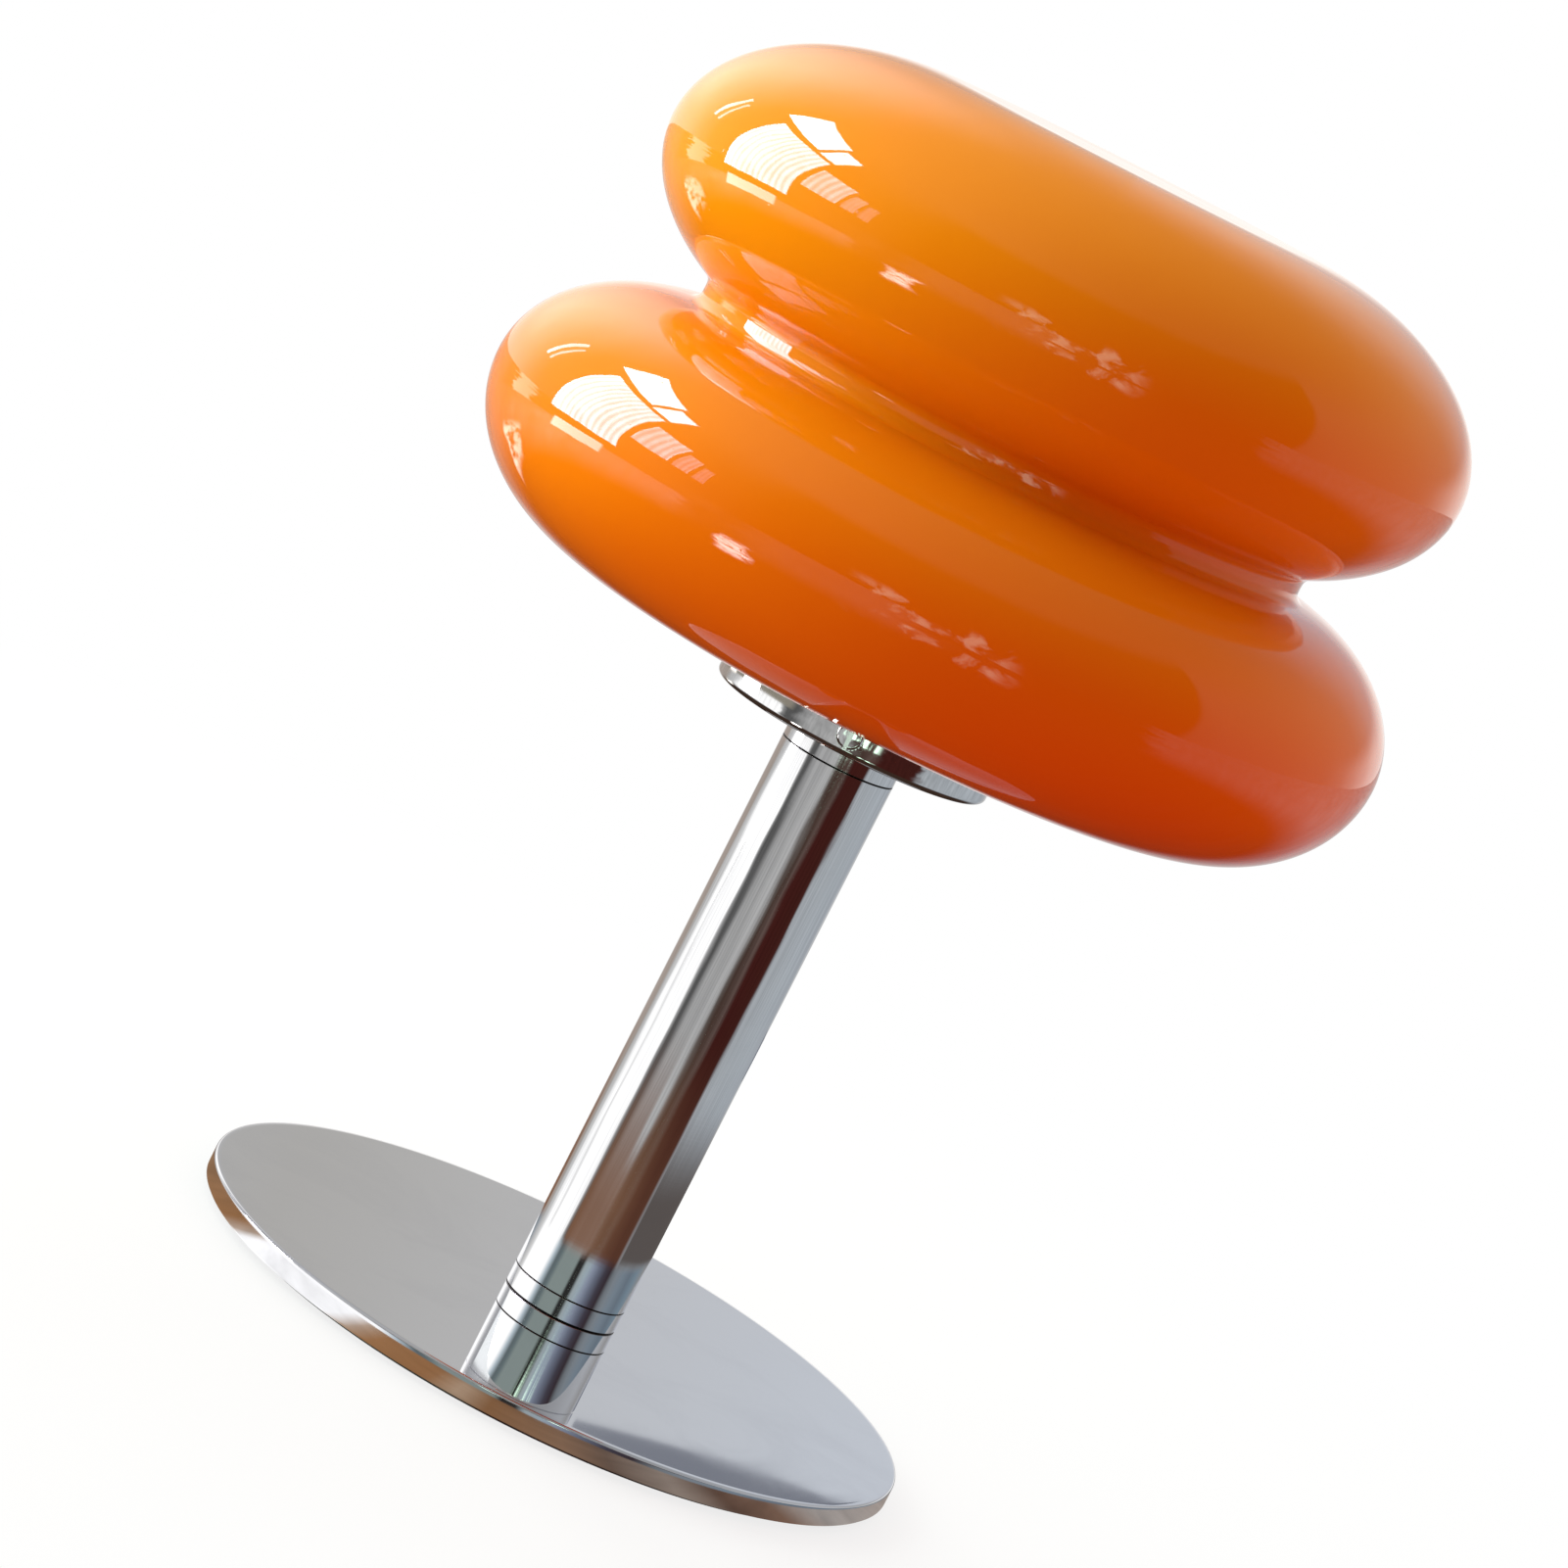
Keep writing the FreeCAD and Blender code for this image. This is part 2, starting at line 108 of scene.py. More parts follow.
class Wire:
    """A node's output. Each sum or curve of it adds a node to its tree."""

    def __init__(self, tree, socket):
        self.tree = tree
        self.socket = socket

    def feed(self, socket):
        self.tree.links.new(self.socket, socket)

    def to(self, kind, given, output=0, **settings):
        return wired(self.tree, kind, given, output, **settings)

    def maths(self, operation, other=0.0):
        return self.to("ShaderNodeMath", {0: self, 1: other}, operation=operation)

    def __add__(self, other):
        return self.maths("ADD", other)

    def __sub__(self, other):
        return self.maths("SUBTRACT", other)

    def __mul__(self, other):
        return self.maths("MULTIPLY", other)

    def __truediv__(self, other):
        return self.maths("DIVIDE", other)

    def flipped(self):
        return self.to("ShaderNodeMath", {0: 1.0, 1: self}, operation="SUBTRACT")

    def ranged(self, low, high, to_low=0.0, to_high=1.0, curve="LINEAR"):
        return self.to("ShaderNodeMapRange", {
            "Value": self, "From Min": low, "From Max": high, "To Min": to_low, "To Max": to_high},
            "Result", interpolation_type=curve)

    def smooth(self, low, high):
        return self.ranged(low, high, curve="SMOOTHSTEP")

    def fading(self, low, high):
        """1 up to the low value, and softly down to 0 at the high one."""
        return self.smooth(low, high).flipped()

    def between(self, low, high, soft):
        """1 between two values, with soft ends."""
        return self.smooth(low, low + soft) * self.fading(high - soft, high)

    def blend(self, first, second, mode="MIX"):
        """From a first colour to a second one by this share."""
        return self.to("ShaderNodeMix", {0: self, 6: first, 7: second}, 2, data_type="RGBA", blend_type=mode)

    def tinted(self, colour):
        return self.to("ShaderNodeMix", {0: 1.0, 6: self, 7: colour}, 2, data_type="RGBA", blend_type="MULTIPLY")

    def noise(self, scale, detail=3.0, roughness=0.5, distortion=0.0):
        return self.to("ShaderNodeTexNoise", {
            "Vector": self, "Scale": scale, "Detail": detail,
            "Roughness": roughness, "Distortion": distortion}, "Fac")

    def cells(self, scale):
        return self.to("ShaderNodeTexVoronoi", {"Vector": self, "Scale": scale}, "Distance")

    def stretched(self, scale):
        return self.to("ShaderNodeMapping", {"Vector": self, "Scale": scale}, "Vector")

    def part(self, axis):
        return self.to("ShaderNodeSeparateXYZ", {"Vector": self}, axis)

    def beside(self, other):
        """A place in a plane, with this as X and the other as Y."""
        return self.to("ShaderNodeCombineXYZ", {0: self, 1: other})

    def ramp(self, stops, interpolation="LINEAR"):
        """Colours along this share, as (share, colour) stops from 0 to 1. A single number is a grey."""
        made = node(self.tree, "ShaderNodeValToRGB", {"Fac": self})
        made.color_ramp.interpolation = interpolation
        elements = made.color_ramp.elements
        for spot, colour in stops:
            stop = elements[0] if spot == 0 else elements[-1] if spot == 1 else elements.new(spot)
            stop.color = (*colour, 1) if isinstance(colour, tuple) else (colour, colour, colour, 1)
        return Wire(self.tree, made.outputs["Color"])

    def by_bearing(self, stops):
        """Colours by this bearing, as (degrees, colour) stops from -180 to 180."""
        return self.ranged(-180.0, 180.0).ramp([((degrees + 180) / 360, colour) for degrees, colour in stops])


def group_tree(name, kind, inputs, outputs):
    """An empty node group with sockets by name and kind, its inputs as wires, and the sockets to feed."""
    tree = bpy.data.node_groups.new(name, kind)
    for in_out, sockets in (("INPUT", inputs), ("OUTPUT", outputs)):
        for label, socket_kind in sockets.items():
            tree.interface.new_socket(label, in_out=in_out, socket_type="NodeSocket" + socket_kind)
    return tree, wires(tree, "NodeGroupInput"), node(tree, "NodeGroupOutput").inputs


# Effects that several finishes share
def effect_group(name, *outputs):
    """An empty effect that takes a place and a scale and gives plain values."""
    tree, given, out = group_tree(name, "ShaderNodeTree", {"Vector": "Vector", "Scale": "Float"},
                                  dict.fromkeys(outputs, "Float"))
    return tree, given["Vector"], given["Scale"], out


def make_polish_marks():
    """Hand smears and the fine lines that a polishing wheel leaves."""
    tree, where, scale, out = effect_group("polish_marks", "Smear", "Lines")
    where.noise(scale, 5.0, 0.62, 0.8).ranged(0.46, 0.74).feed(out["Smear"])
    where.stretched((1.0, 1.0, 46.0)).noise(scale, 4.0, 0.55).feed(out["Lines"])
    return tree


def make_fine_grain():
    """The small even grain of rubber, foam and moulded surfaces."""
    tree, where, scale, out = effect_group("fine_grain", "Tone", "Height")
    where.noise(70.0, 4.0, 0.6).ranged(0.3, 0.7).feed(out["Tone"])
    where.cells(scale).feed(out["Height"])
    return tree


def make_blown_waves():
    """The slow waves, drawn lines and tiny seeds of glass blown by mouth."""
    tree, where, scale, out = effect_group("blown_waves", "Tone", "Height")
    slow = where.noise(scale, 1.5, 0.4)
    drawn = where.stretched((1.0, 1.0, 3.6)).noise(scale, 2.0, 0.45)
    waves = slow * 0.7 + drawn * 0.3
    seeds = where.cells(260.0).ranged(0.02, 0.09, 1.0, 0.0)
    fine = where.noise(scale * 9.0, 1.0, 0.4)
    (waves + (seeds * 0.012 + fine * 0.07)).feed(out["Height"])
    waves.ranged(0.32, 0.68).feed(out["Tone"])
    return tree


polish_marks = make_polish_marks()
fine_grain = make_fine_grain()
blown_waves = make_blown_waves()


def effect(group, where, scale):
    return wires(where.tree, "ShaderNodeGroup", {"Vector": where, "Scale": scale}, node_tree=group)


def blank_material(name):
    material = bpy.data.materials.new(name)
    material.use_nodes = True
    material.node_tree.nodes.clear()
    return material, material.node_tree


def finish(name, **constants):
    """A material, its Principled shader with constants set on the shader itself, and Object coordinates."""
    material, tree = blank_material(name)
    shader = node(tree, "ShaderNodeBsdfPrincipled", {
        label.replace("_", " "): value for label, value in constants.items()})
    node(tree, "ShaderNodeOutputMaterial", {"Surface": Wire(tree, shader.outputs["BSDF"])}, is_active_output=True)
    return material, shader, wired(tree, "ShaderNodeTexCoord", output="Object")


def dress(shader, colour, roughness, height, strength, distance):
    """Wires a shader's colour, roughness and bump."""
    bump = height.to("ShaderNodeBump", {"Height": height, "Strength": strength, "Distance": distance})
    for label, wire in (("Base Color", colour), ("Roughness", roughness), ("Normal", bump)):
        wire.feed(shader.inputs[label])


# Finishes
# Colour of the seam lines on the stem: partly dirt, partly painted shade in the gaps between parts
seam_shade_and_dirt_colour = (0.035, 0.03, 0.028)
# Heights in metres and colours of the glass's painted shade: deep red low on the shade, lighter orange towards the
# top
glass_painted_shade_heights = (0.175, 0.31)
glass_painted_shade_bands = (
    (0.0, (0.85, 0.15, 0.002)), (0.28, (0.89, 0.235, 0.003)), (0.45, (0.91, 0.278, 0.004)),
    (0.52, (0.9, 0.325, 0.003)), (0.75, (0.91, 0.32, 0.004)), (1.0, (0.92, 0.33, 0.008)))


def chrome_finish(name, bright, dull, rough, smear_rough, scale, joints=()):
    """Bright plating: a mirror with faint smears and polishing lines.

    Joints are (height, half width) of dark lines at the seams, in millimetres: partly dirt, partly painted shade in
    the gaps between parts.
    """
    material, shader, where = finish(name, Metallic=1.0)
    marks = effect(polish_marks, where, scale)
    colour = marks["Smear"].blend(bright, dull)
    roughness = marks["Lines"] * 0.02 + marks["Smear"] * smear_rough + rough
    height = where.part("Z")
    for level, width in joints:
        # A dark, rougher line at each seam: partly dirt, partly painted shade in the gap
        seam_shade_and_dirt = (height - level * MM).maths("ABSOLUTE").ranged(width * 0.6 * MM, width * MM, 1.0, 0.0)
        colour = seam_shade_and_dirt.blend(colour, seam_shade_and_dirt_colour)
        roughness = roughness + seam_shade_and_dirt * 0.4
    dress(shader, colour, roughness, marks["Lines"], 0.02, 0.00004)
    return material


def shade_glass_finish():
    """Orange cased glass: glossy outside, with its colour deeper and redder towards the bottom and lighter at the
    top, a painted shade for the less lit lower lobe.
    """
    material, shader, where = finish("orange_cased_glass", IOR=1.5, Metallic=0.0, Subsurface_Weight=0.0)
    waves = effect(blown_waves, where, 11.0)
    # Painted shade: the colour set by height, deepest at the bottom
    plain = where.part("Z").ranged(*glass_painted_shade_heights).ramp(glass_painted_shade_bands, "EASE")
    colour = waves["Tone"].blend(plain.tinted((0.95, 0.84, 0.7)), plain)
    film = effect(polish_marks, where, 22.0)
    dress(shader, colour, film["Smear"].ranged(0.0, 1.0, 0.018, 0.05), waves["Height"], 0.22, 0.004)
    return material


def grained_finish(name, dark, light, rough, scale, depth):
    """Rubber, foam, mouldings and black glass, with a fine grain."""
    material, shader, where = finish(name)
    grain = effect(fine_grain, where, scale)
    roughness = grain["Tone"].ranged(0.0, 1.0, rough - 0.08, rough + 0.06)
    dress(shader, grain["Tone"].blend(dark, light), roughness, grain["Height"], 0.35, depth)
    return material


def metal_finish(name, bright, dull, rough, scale):
    """Plain plated or bare metal with drawn lines and dull patches."""
    material, shader, where = finish(name, Metallic=1.0)
    marks = effect(polish_marks, where, scale)
    roughness = marks["Lines"].ranged(0.3, 0.7, rough - 0.07, rough + 0.1)
    dress(shader, marks["Smear"].blend(bright, dull), roughness, marks["Lines"], 0.12, 0.00006)
    return material


def opal_finish():
    """White opal bulb glass, a little warmer in its slow waves."""
    material, shader, where = finish(
        "opal_bulb_glass", Subsurface_Weight=0.25, Subsurface_Radius=(0.004, 0.003, 0.002), Subsurface_Scale=1.0)
    waves = effect(blown_waves, where, 30.0)
    colour = waves["Tone"].blend((0.8, 0.78, 0.74), (0.86, 0.85, 0.82))
    dress(shader, colour, waves["Tone"].ranged(0.0, 1.0, 0.1, 0.16), waves["Height"], 0.08, 0.001)
    return material


stem_joints = ((high_z("foot_tube"), 0.24), (high_z("foot_insert"), 0.4),
               (low_z("stem_tube"), 0.24), (high_z("stem_tube"), 0.26))
finishes = {
    "base_chrome": chrome_finish(
        "base_plate_chrome", (0.8, 0.8, 0.82), (0.74, 0.74, 0.765), rough=0.035, smear_rough=0.05, scale=26.0),
    "stem_chrome": chrome_finish(
        "stem_chrome", (0.83, 0.83, 0.835), (0.78, 0.78, 0.79),
        rough=0.02, smear_rough=0.03, scale=40.0, joints=stem_joints),
    "gallery_chrome": chrome_finish(
        "gallery_chrome", (0.82, 0.82, 0.82), (0.76, 0.76, 0.765), rough=0.03, smear_rough=0.04, scale=60.0),
    "shade_glass": shade_glass_finish(),
    "pad_rubber": grained_finish(
        "foam_pad", (0.045, 0.045, 0.047), (0.085, 0.083, 0.082), rough=0.85, scale=1300.0, depth=0.0004),
    "grommet_rubber": grained_finish(
        "grommet_rubber", (0.028, 0.028, 0.03), (0.055, 0.054, 0.053), rough=0.6, scale=2600.0, depth=0.0001),
    "gasket_rubber": grained_finish(
        "gasket_silicone", (0.6, 0.58, 0.53), (0.74, 0.73, 0.69), rough=0.45, scale=2200.0, depth=0.0001),
    "holder_plastic": grained_finish(
        "holder_moulding", (0.74, 0.72, 0.66), (0.84, 0.83, 0.79), rough=0.38, scale=1800.0, depth=0.00005),
    "bulb_insulator": grained_finish(
        "black_insulator", (0.012, 0.012, 0.014), (0.035, 0.034, 0.036), rough=0.2, scale=1500.0, depth=0.00004),
    "plated_steel": metal_finish(
        "zinc_plated_steel", (0.66, 0.66, 0.63), (0.5, 0.49, 0.45), rough=0.34, scale=90.0),
    "holder_brass": metal_finish(
        "socket_brass", (0.8, 0.6, 0.28), (0.58, 0.4, 0.17), rough=0.28, scale=120.0),
    "bulb_metal": metal_finish(
        "bulb_cap_metal", (0.8, 0.8, 0.8), (0.66, 0.66, 0.65), rough=0.27, scale=110.0),
    "bulb_glass": opal_finish(),
}


# Outlines, as (radius, height) points in millimetres
def arc(r, z, radius, start, end, count=8):
    """Points on a circle about (r, z), by angles in degrees from outwards, turning upwards."""
    angles = [math.radians(start + (end - start) * k / count) for k in range(count + 1)]
    return [(r + radius * math.cos(a), z + radius * math.sin(a)) for a in angles]


def evenly(start, end, count):
    """Points that divide a straight run, without its first point."""
    return [(start[0] + (end[0] - start[0]) * k / count, start[1] + (end[1] - start[1]) * k / count)
            for k in range(1, count + 1)]


def ring_outline(inner_r, outer_r, z0, z1):
    return [(inner_r, z0), (outer_r, z0), (outer_r, z1), (inner_r, z1)]


class Lobe:
    """One lobe's side: a half outline of two quarter ellipses, drawn in by a skin."""

    def __init__(self, z_equator, skin, equator_r, reach, drop, rise):
        self.inner_r = equator_r - reach
        self.reach = reach - skin
        self.z = z_equator
        self.drop = drop - skin
        self.rise = rise - skin

    def at(self, turn):
        """The point at an angle above the equator, in radians, and the outward direction there."""
        height = self.rise if turn > 0 else self.drop
        spot = (self.inner_r + self.reach * math.cos(turn), self.z + height * math.sin(turn))
        out = Vector((math.cos(turn) / self.reach, math.sin(turn) / height)).normalized()
        return spot, out

    def meets(self, waist, fillet, side):
        """Where a fillet from the waist touches the lobe, above its equator for side 1 and below for -1.

        Gives the angle there, the fillet's centre, and the direction from that centre in degrees.
        """
        near, far = 0.0, math.pi / 2
        for _ in range(50):
            turn = (near + far) / 2
            spot, out = self.at(side * turn)
            if spot[0] + fillet * out[0] > waist + fillet:
                near = turn
            else:
                far = turn
        spot, out = self.at(side * turn)
        angle = math.degrees(math.atan2(-out[1], -out[0])) % 360
        return side * turn, (waist + fillet, spot[1] + fillet * out[1]), angle

    def run(self, start, end, count):
        return [self.at(start + (end - start) * k / count)[0] for k in range(count + 1)]


glass_t = 2.5
neck_fillet = 1.2
neck_rim_r = 0.6
waist_r = 72.6
waist_fillet = 2.6
lower_size = {"equator_r": 106.8, "reach": 37.3, "drop": 31.1, "rise": 29.0}
upper_size = {"equator_r": 95.5, "reach": 52.6, "drop": 33.9, "rise": 33.9}


def shade_side(skin):
    """The shade's side from its shoulder to the middle of the crown, drawn in by the skin."""
    z_shoulder = low_z("glass_lower_lobe")
    lower = Lobe(z_shoulder + lower_size["drop"], skin, **lower_size)
    upper = Lobe(high_z("glass_crown") - upper_size["rise"], skin, **upper_size)
    fillet = waist_fillet + skin * 0.2
    low_turn, low_centre, low_angle = lower.meets(waist_r - skin, fillet, 1)
    high_turn, high_centre, high_angle = upper.meets(waist_r - skin, fillet, -1)
    bend = neck_fillet + skin
    floor = z_shoulder + skin
    side = arc(neck_r - skin + bend, floor - bend, bend, 180, 90, 10)
    side += evenly(side[-1], (lower.inner_r, floor), 10)
    side += lower.run(-math.pi / 2, 0, 44)[1:]
    side += lower.run(0, low_turn, 40)[1:]
    side += arc(*low_centre, fillet, low_angle, 180, 10)[1:]
    side += arc(*high_centre, fillet, 180, high_angle, 10)
    side += upper.run(high_turn, 0, 36)[1:]
    side += upper.run(0, math.pi / 2, 48)[1:]
    side += evenly(side[-1], (0, upper.z + upper.rise), 14)
    return side


def shade_outline():
    z_rim = low_z("glass_neck") + neck_rim_r
    outer_rim = arc(neck_r - neck_rim_r, z_rim, neck_rim_r, -90, 0, 5)
    inner_rim = arc(neck_r - glass_t + neck_rim_r, z_rim, neck_rim_r, 180, 270, 5)
    return shade_side(glass_t)[::-1] + inner_rim + outer_rim + shade_side(0)


# Meshes
def add_faces(name, points, faces):
    mesh = bpy.data.meshes.new(name)
    mesh.from_pydata(points, [], faces)
    return mesh


def turned_mesh(name, outline, steps, axis):
    """A form turned about an upright axis.

    An outline that starts and ends on the axis closes there, any other is a ring.
    """
    points, rows = [], []
    for r, z in outline:
        if r < 1e-6:
            rows.append([len(points)] * steps)
            points.append((axis.x, axis.y, z * MM))
            continue
        rows.append(range(len(points), len(points) + steps))
        for k in range(steps):
            turn = 2 * math.pi * k / steps
            points.append((axis.x + r * MM * math.cos(turn), axis.y + r * MM * math.sin(turn), z * MM))
    pairs = list(zip(rows, rows[1:]))
    if outline[0][0] > 1e-6:
        pairs.append((rows[-1], rows[0]))
    faces = []
    for row, following in pairs:
        for k in range(steps):
            corners = [row[k], row[(k + 1) % steps], following[(k + 1) % steps], following[k]]
            corners = list(dict.fromkeys(corners))
            if len(corners) > 2:
                faces.append(corners)
    return add_faces(name, points, faces)


def settle(mesh, sharp=sharp_turn):
    """Merges doubles, turns every face outwards and marks the sharp edges."""
    work = bmesh.new()
    work.from_mesh(mesh)
    bmesh.ops.remove_doubles(work, verts=work.verts, dist=1e-7)
    bmesh.ops.recalc_face_normals(work, faces=work.faces)
    for face in work.faces:
        face.smooth = True
        face.material_index = 0
    work.to_mesh(mesh)
    work.free()
    mesh.set_sharp_from_angle(angle=math.radians(sharp))
    return mesh


def turned(name, outline, steps, axis=stem_axis, sharp=sharp_turn):
    return settle(turned_mesh(name, outline, steps, axis), sharp)


def joined(name, *meshes):
    """Several meshes as one, each already closed."""
    work = bmesh.new()
    for mesh in meshes:
        work.from_mesh(mesh)
    whole = bpy.data.meshes.new(name)
    work.to_mesh(whole)
    work.free()
    return whole


def placed(name, data):
    made = bpy.data.objects.new(name, data)
    scene.collection.objects.link(made)
    return made


def evaluated(item):
    """The mesh that an object's modifiers make."""
    graph = bpy.context.evaluated_depsgraph_get()
    return bpy.data.meshes.new_from_object(item.evaluated_get(graph))


def fit_piece(name, mesh, slot, *nodes, body="stand"):
    """A finished piece in the object's frame that stands for CAD nodes of one body."""
    mesh.materials.clear()
    mesh.materials.append(finishes[slot])
    piece = placed(name, mesh)
    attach(piece, body)
    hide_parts(*nodes)


def fair_piece(name, slot, node_name, body="stand"):
    """A piece made of a CAD node's own mesh, merged and shaded smoothly."""
    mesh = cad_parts[node_name].data.copy()
    for label in [a.name for a in mesh.attributes if a.name == "custom_normal"]:
        mesh.attributes.remove(mesh.attributes[label])
    fit_piece(name, settle(mesh, 28.0), slot, node_name, body=body)


def cut_mesh(mesh, cutter):
    """A mesh with another one taken out of it."""
    body, tool = placed("cut_body", mesh), placed("cut_tool", cutter)
    modifier = body.modifiers.new("cut", "BOOLEAN")
    modifier.operation = "DIFFERENCE"
    modifier.solver = "EXACT"
    modifier.object = tool
    result = evaluated(body)
    for item in (body, tool):
        bpy.data.objects.remove(item)
    result.set_sharp_from_angle(angle=math.radians(sharp_turn))
    return result


# What repeats or winds: grips and threads
def geometry_group(name, inputs):
    return group_tree(name, "GeometryNodeTree", {**inputs, "Material": "Material"}, {"Mesh": "Geometry"})


def close_group(tree, geometry, material, out):
    shaded = wired(tree, "GeometryNodeSetShadeSmooth", {"Geometry": geometry})
    real = wired(tree, "GeometryNodeRealizeInstances", {"Geometry": shaded})
    wired(tree, "GeometryNodeSetMaterial", {"Geometry": real, "Material": material}).feed(out["Mesh"])


def make_grip_ribs():
    """Round ribs along a turned grip, evenly about its axis."""
    tree, given, out = geometry_group("grip_ribs", {
        "Count": "Int", "Grip Radius": "Float", "Rib Radius": "Float", "Length": "Float"})
    spots = wired(tree, "GeometryNodeMeshCircle", {"Vertices": given["Count"], "Radius": given["Grip Radius"]})
    rib = wired(tree, "GeometryNodeMeshCylinder", {
        "Vertices": 8, "Radius": given["Rib Radius"], "Depth": given["Length"]}, "Mesh")
    ribs = wired(tree, "GeometryNodeInstanceOnPoints", {"Points": spots, "Instance": rib})
    close_group(tree, ribs, given["Material"], out)
    return tree


def make_rolled_thread():
    """A round ridge that winds up a cylinder."""
    tree, given, out = geometry_group("rolled_thread", {
        "Turns": "Float", "Radius": "Float", "Height": "Float", "Ridge": "Float"})
    path = wired(tree, "GeometryNodeCurveSpiral", {
        "Resolution": 40, "Rotations": given["Turns"], "Start Radius": given["Radius"],
        "End Radius": given["Radius"], "Height": given["Height"]})
    wire = wired(tree, "GeometryNodeCurvePrimitiveCircle", {"Resolution": 8, "Radius": given["Ridge"]}, "Curve")
    ridge = wired(tree, "GeometryNodeCurveToMesh", {"Curve": path, "Profile Curve": wire, "Fill Caps": True})
    close_group(tree, ridge, given["Material"], out)
    return tree


grip_ribs = make_grip_ribs()
rolled_thread = make_rolled_thread()


def grown(tree, height, axis, values):
    """The plain mesh that a geometry tree makes from these values, at a height on an upright axis."""
    bearer = placed("bearer", bpy.data.meshes.new("bearer"))
    modifier = bearer.modifiers.new("grow", "NODES")
    modifier.node_group = tree
    for item in tree.interface.items_tree:
        if item.name in values:
            modifier[item.identifier] = values[item.name]
    mesh = evaluated(bearer)
    bearer.modifiers.clear()
    bpy.data.objects.remove(bearer)
    mesh.transform(Matrix.Translation((axis.x, axis.y, height * MM)))
    return mesh


def ribs_mesh(slot, z, count, grip_r, rib_r, length, axis=stem_axis):
    return grown(grip_ribs, z, axis, {
        "Count": count, "Grip Radius": grip_r * MM, "Rib Radius": rib_r * MM, "Length": length * MM,
        "Material": finishes[slot]})


def thread_mesh(slot, z, turns, radius, height, ridge, axis=stem_axis):
    return grown(rolled_thread, z, axis, {
        "Turns": turns, "Radius": radius * MM, "Height": height * MM, "Ridge": ridge * MM,
        "Material": finishes[slot]})


# Base
def build_base():
    edge, foot, flat_r = 0.65, 0.6, 77.0
    r = radius_of("base_plate")
    z0, z1 = levels("base_plate")
    outline = [(0, z0)] + evenly((0, z0), (r - foot, z0), 12) + [(r, z0 + foot)]
    outline += arc(r - edge, z1 - edge, edge, 0, 84, 8)
    outline += evenly((r - edge, z1), (flat_r, z1), 12) + evenly((flat_r, z1), (0, z1), 16)
    fit_piece("base_disc", turned("base_disc", outline, 256, origin, 36.0), "base_chrome", "base_plate")
    pad_edge = 0.4
    r = radius_of("base_pad")
    z0, z1 = levels("base_pad")
    outline = [(0, z0), (r * 0.5, z0)] + arc(r - pad_edge, z0 + pad_edge, pad_edge, -90, 0, 4)
    outline += [(r, z1), (r * 0.5, z1), (0, z1)]
    fit_piece("table_pad", turned("table_pad", outline, 128, origin), "pad_rubber", "base_pad")
    for name in ("base_screws", "foot_flange"):
        fair_piece(name + "_fair", "plated_steel", name)


# Stem
def tube_outline(node_name, bore_r, bevel):
    """A tube's wall with broken outer edges."""
    z0, z1 = levels(node_name)
    return [(bore_r, z0), (stem_r - bevel, z0), (stem_r, z0 + bevel),
            (stem_r, z1 - bevel), (stem_r - bevel, z1), (bore_r, z1)]


def build_stem():
    wall, bevel, groove = 1.5, 0.18, 0.34
    bore_r = stem_r - wall
    foot = turned("foot_sleeve", tube_outline("foot_tube", bore_r, bevel), 160)
    inlet_r, drill_reach = 4.0, 30.0
    low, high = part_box("cord_grommet")
    inlet = Vector((stem_axis.x, stem_axis.y, (low.z + high.z) / 2))
    drill = turned_mesh("inlet_drill", ring_outline(0, inlet_r, 0, drill_reach), 48, origin)
    drill.transform(Matrix.Translation(inlet) @ Matrix.Rotation(-math.pi / 2, 4, "X"))
    fit_piece("foot_sleeve", cut_mesh(foot, settle(drill)), "stem_chrome", "foot_tube")
    tube = turned("stem_sleeve", tube_outline("stem_tube", bore_r, bevel), 192)
    fit_piece("stem_sleeve", tube, "stem_chrome", "stem_tube")
    spigot = bore_r - fit_gap
    for name, node_name, z_end, z_face, z_shoulder, cut in (
            ("foot_band", "foot_insert", *levels("foot_insert"), high_z("foot_tube"), groove),
            ("stem_band", "stem_insert", *levels("stem_insert")[::-1], low_z("stem_tube"), groove),
            ("top_band", "top_insert", *levels("top_insert"), high_z("stem_tube"), bevel)):
        out = 1 if z_face > z_shoulder else -1
        outline = [(nipple_bore_r, z_end), (spigot, z_end), (spigot, z_shoulder), (stem_r - bevel, z_shoulder),
                   (stem_r, z_shoulder + out * bevel), (stem_r, z_face - out * cut),
                   (stem_r - cut, z_face), (nipple_bore_r, z_face)]
        fit_piece(name, turned(name, outline, 192), "stem_chrome", node_name)
    fair_piece("inlet_ring", "grommet_rubber", "cord_grommet")
    plain_end = 0.5
    for name in ("joint_nipple", "top_nipple"):
        z0, z1 = levels(name)
        length = z1 - z0 - 2 * plain_end
        tube = turned(name, ring_outline(nipple_hole_r, nipple_r, z0, z1), 64)
        ridge = thread_mesh("plated_steel", z0 + plain_end, turns=length, radius=4.86, height=length, ridge=0.17)
        fit_piece(name + "_threaded", joined(name, tube, ridge), "plated_steel", name)


# Gallery
def build_gallery():
    r, edge, lip = radius_of("gallery"), 1.5, cup_t * 0.35
    z0, z1 = levels("gallery")
    outline = [(nipple_bore_r, z0)] + evenly((nipple_bore_r, z0), (r - edge, z0), 6)
    outline += arc(r - edge, z0 + edge, edge, -90, 0, 12)[1:]
    outline += arc(r - lip, z1 - lip, lip, 0, 90, 5) + arc(r - cup_t + lip, z1 - lip, lip, 90, 180, 5)
    outline += arc(r - edge, z0 + edge, edge - cup_t, 0, -90, 6)
    outline += evenly((r - edge, z0 + cup_t), (nipple_bore_r, z0 + cup_t), 6)
    fit_piece("shade_cup", turned("shade_cup", outline, 192), "gallery_chrome", "gallery")
    fair_piece("seat_ring", "gasket_rubber", "gasket")
    fair_piece("cup_washer", "plated_steel", "gallery_washer")
    fair_piece("cup_nut", "plated_steel", "gallery_nut")


